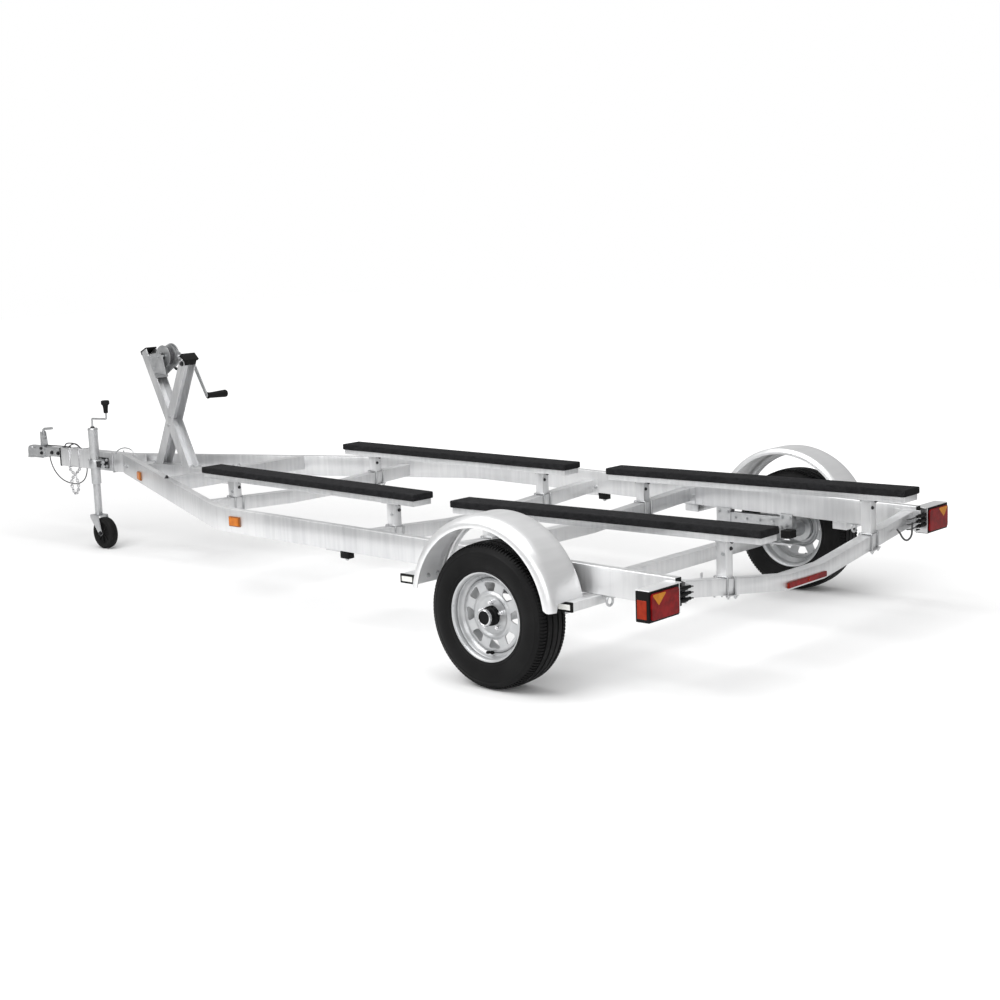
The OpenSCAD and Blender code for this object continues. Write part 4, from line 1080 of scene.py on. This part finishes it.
white = Finish("reflector_white", "marker_orange", coat_weight=0.5)
cells = white.node("TexVoronoi", {"feature": "DISTANCE_TO_EDGE"}, {"Vector": white.place, "Scale": 220})
white.colour(cells, (0.55, 0.55, 0.52), (0.75, 0.75, 0.72), 0, 0.1)
white.rough(cells, 0.25, 0.4, 0, 0.1)
shape = bmesh.new()
panels = bmesh.new()
for x0, x1 in ((478, 560), (-415, -335)):
    for side in (-1, 1):
        top = rail_top((x0 + x1) / 2) - 120
        block(shape, (x0 - 1, side * 1185 - 5, top - 40), (x1 + 1, side * 1185 + 5, top + 1.5))
        block(panels, (x0 + 9, side * 1189 - 2.2, top - 31), (x1 - 9, side * 1189 + 2.2, top - 8))
built("outrigger_caps", shape, black_plastic, width=0.0015)
built("outrigger_reflectors", panels, white, width=0.0008)

shape = bmesh.new()
middle = rail_top(-780) - 139 - 48
for y in (-80, 80):
    ring = outline([(y - 75, middle - 12), (y + 75, middle - 12), (y + 75, middle + 12),
        (y - 75, middle + 12)], 4, 4)
    prism(shape, [at(-790, u, v) for u, v in ring], (0.01, 0, 0))
built("rear_bar_lenses", shape, red, width=0.002)
shape = bmesh.new()
block(shape, (-787, -158, middle - 12), (-779, 158, middle + 12))
bolt(shape, at(-787, 0, middle), (-1, 0, 0), 0.0055)
built("rear_bar_base", shape, side_red, width=0.001)

# ---- Drawbar joint ----
# A U-bolt round the drawbar ahead of the rails, and a bent rod loop over it.
wires("drawbar_u_bolt", [[at(4222, 44, 606), at(4224, 44, 486), at(4224, 40, 480), at(4224, -40, 480),
    at(4224, -44, 486), at(4222, -44, 606)]], 0.0045, zinc)
wires("drawbar_rod_loop", [[at(4200, 36, 596), at(4180, 38, 612), at(4120, 40, 636), at(4060, 38, 638),
    at(4018, 36, 622), at(4004, 34, 600)]], 0.004, zinc, smooth=True)

# ---- Safety chain ----
# Bright steel links that hang in a loop under the drawbar from two straps round it.
chain_steel = Finish("chain_steel", "chain_steel", metallic=1.0)
scale = chain_steel.noise(60, 3)
chain_steel.colour(scale, (0.42, 0.42, 0.43), (0.62, 0.62, 0.63))
chain_steel.rough(scale, 0.25, 0.42)
shape = bmesh.new()
shape.from_mesh(frame["nodes"]["safety_chain"].data)
bmesh.ops.remove_doubles(shape, verts=shape.verts, dist=1e-6)
built("safety_chain_links", shape, chain_steel, "safety_chain", sharp=60)

# ---- Floor and light ----
# A pale floor with painted shade round the trailer, a white room and three large soft lamps.
floor_mesh = bmesh.new()
bmesh.ops.create_grid(floor_mesh, x_segments=1, y_segments=1, size=30)
ground = bpy.data.meshes.new("floor")
floor_mesh.to_mesh(ground)
floor_mesh.free()
floor = bpy.data.objects.new("floor", ground)
bpy.context.scene.collection.objects.link(floor)
pale = Finish("floor_white_with_painted_shade", "", base_color=(0.8, 0.8, 0.8), roughness=0.8, specular_ior_level=0.1)
# Painted shade: the floor's glow for the camera is weak near the trailer and white further off, so the floor
# round the trailer is painted darker.
away = pale.node("VectorMath", {"operation": "LENGTH"}, {0: pale.stretched((0.7, 1.0, 1.0))}, "Value")
glow = pale.shades(pale.between(away, 0, 1, 1.9, 5.5), (0.03, 0.03, 0.03), (0.7, 0.7, 0.7), 0, 1)
seen = pale.node("LightPath", {}, {}, "Is Camera Ray")
pale.set("Emission Color", pale.node("Mix", {"data_type": "RGBA"}, {0: seen, 6: (0, 0, 0), 7: glow}, 2))
pale.set("Emission Strength", 1)
ground.materials.append(pale.material)

world = bpy.data.worlds.new("room")
bpy.context.scene.world = world
world.use_nodes = True
tree = world.node_tree
back = tree.nodes["Background"]
back.inputs["Color"].default_value = (1, 1, 1, 1)
path = tree.nodes.new("ShaderNodeLightPath")
level = tree.nodes.new("ShaderNodeMapRange")
level.inputs["To Min"].default_value = 0.5
level.inputs["To Max"].default_value = 1.0
tree.links.new(path.outputs["Is Camera Ray"], level.inputs["Value"])
tree.links.new(level.outputs["Result"], back.inputs["Strength"])


def soft_lamp(name, place, aim, size, power):
    data = bpy.data.lights.new(name, "AREA")
    data.shape = "RECTANGLE"
    data.size, data.size_y = size
    data.energy = power
    lamp = bpy.data.objects.new(name, data)
    lamp.location = place
    lamp.rotation_mode = "QUATERNION"
    lamp.rotation_quaternion = (Vector(aim) - Vector(place)).to_track_quat("-Z", "Y")
    bpy.context.scene.collection.objects.link(lamp)


soft_lamp("key_lamp", (-0.3, 4.6, 4.6), (-0.5, 0, 0.3), (6, 3), 240)
soft_lamp("top_lamp", (-1.0, 0.5, 6.5), (-1.0, 0, 0), (7, 5), 330)
soft_lamp("fill_lamp", (-6.0, 6.5, 3.2), (-0.5, 0, 0.5), (5, 3), 110)

bpy.context.scene.view_settings.view_transform = "Standard"
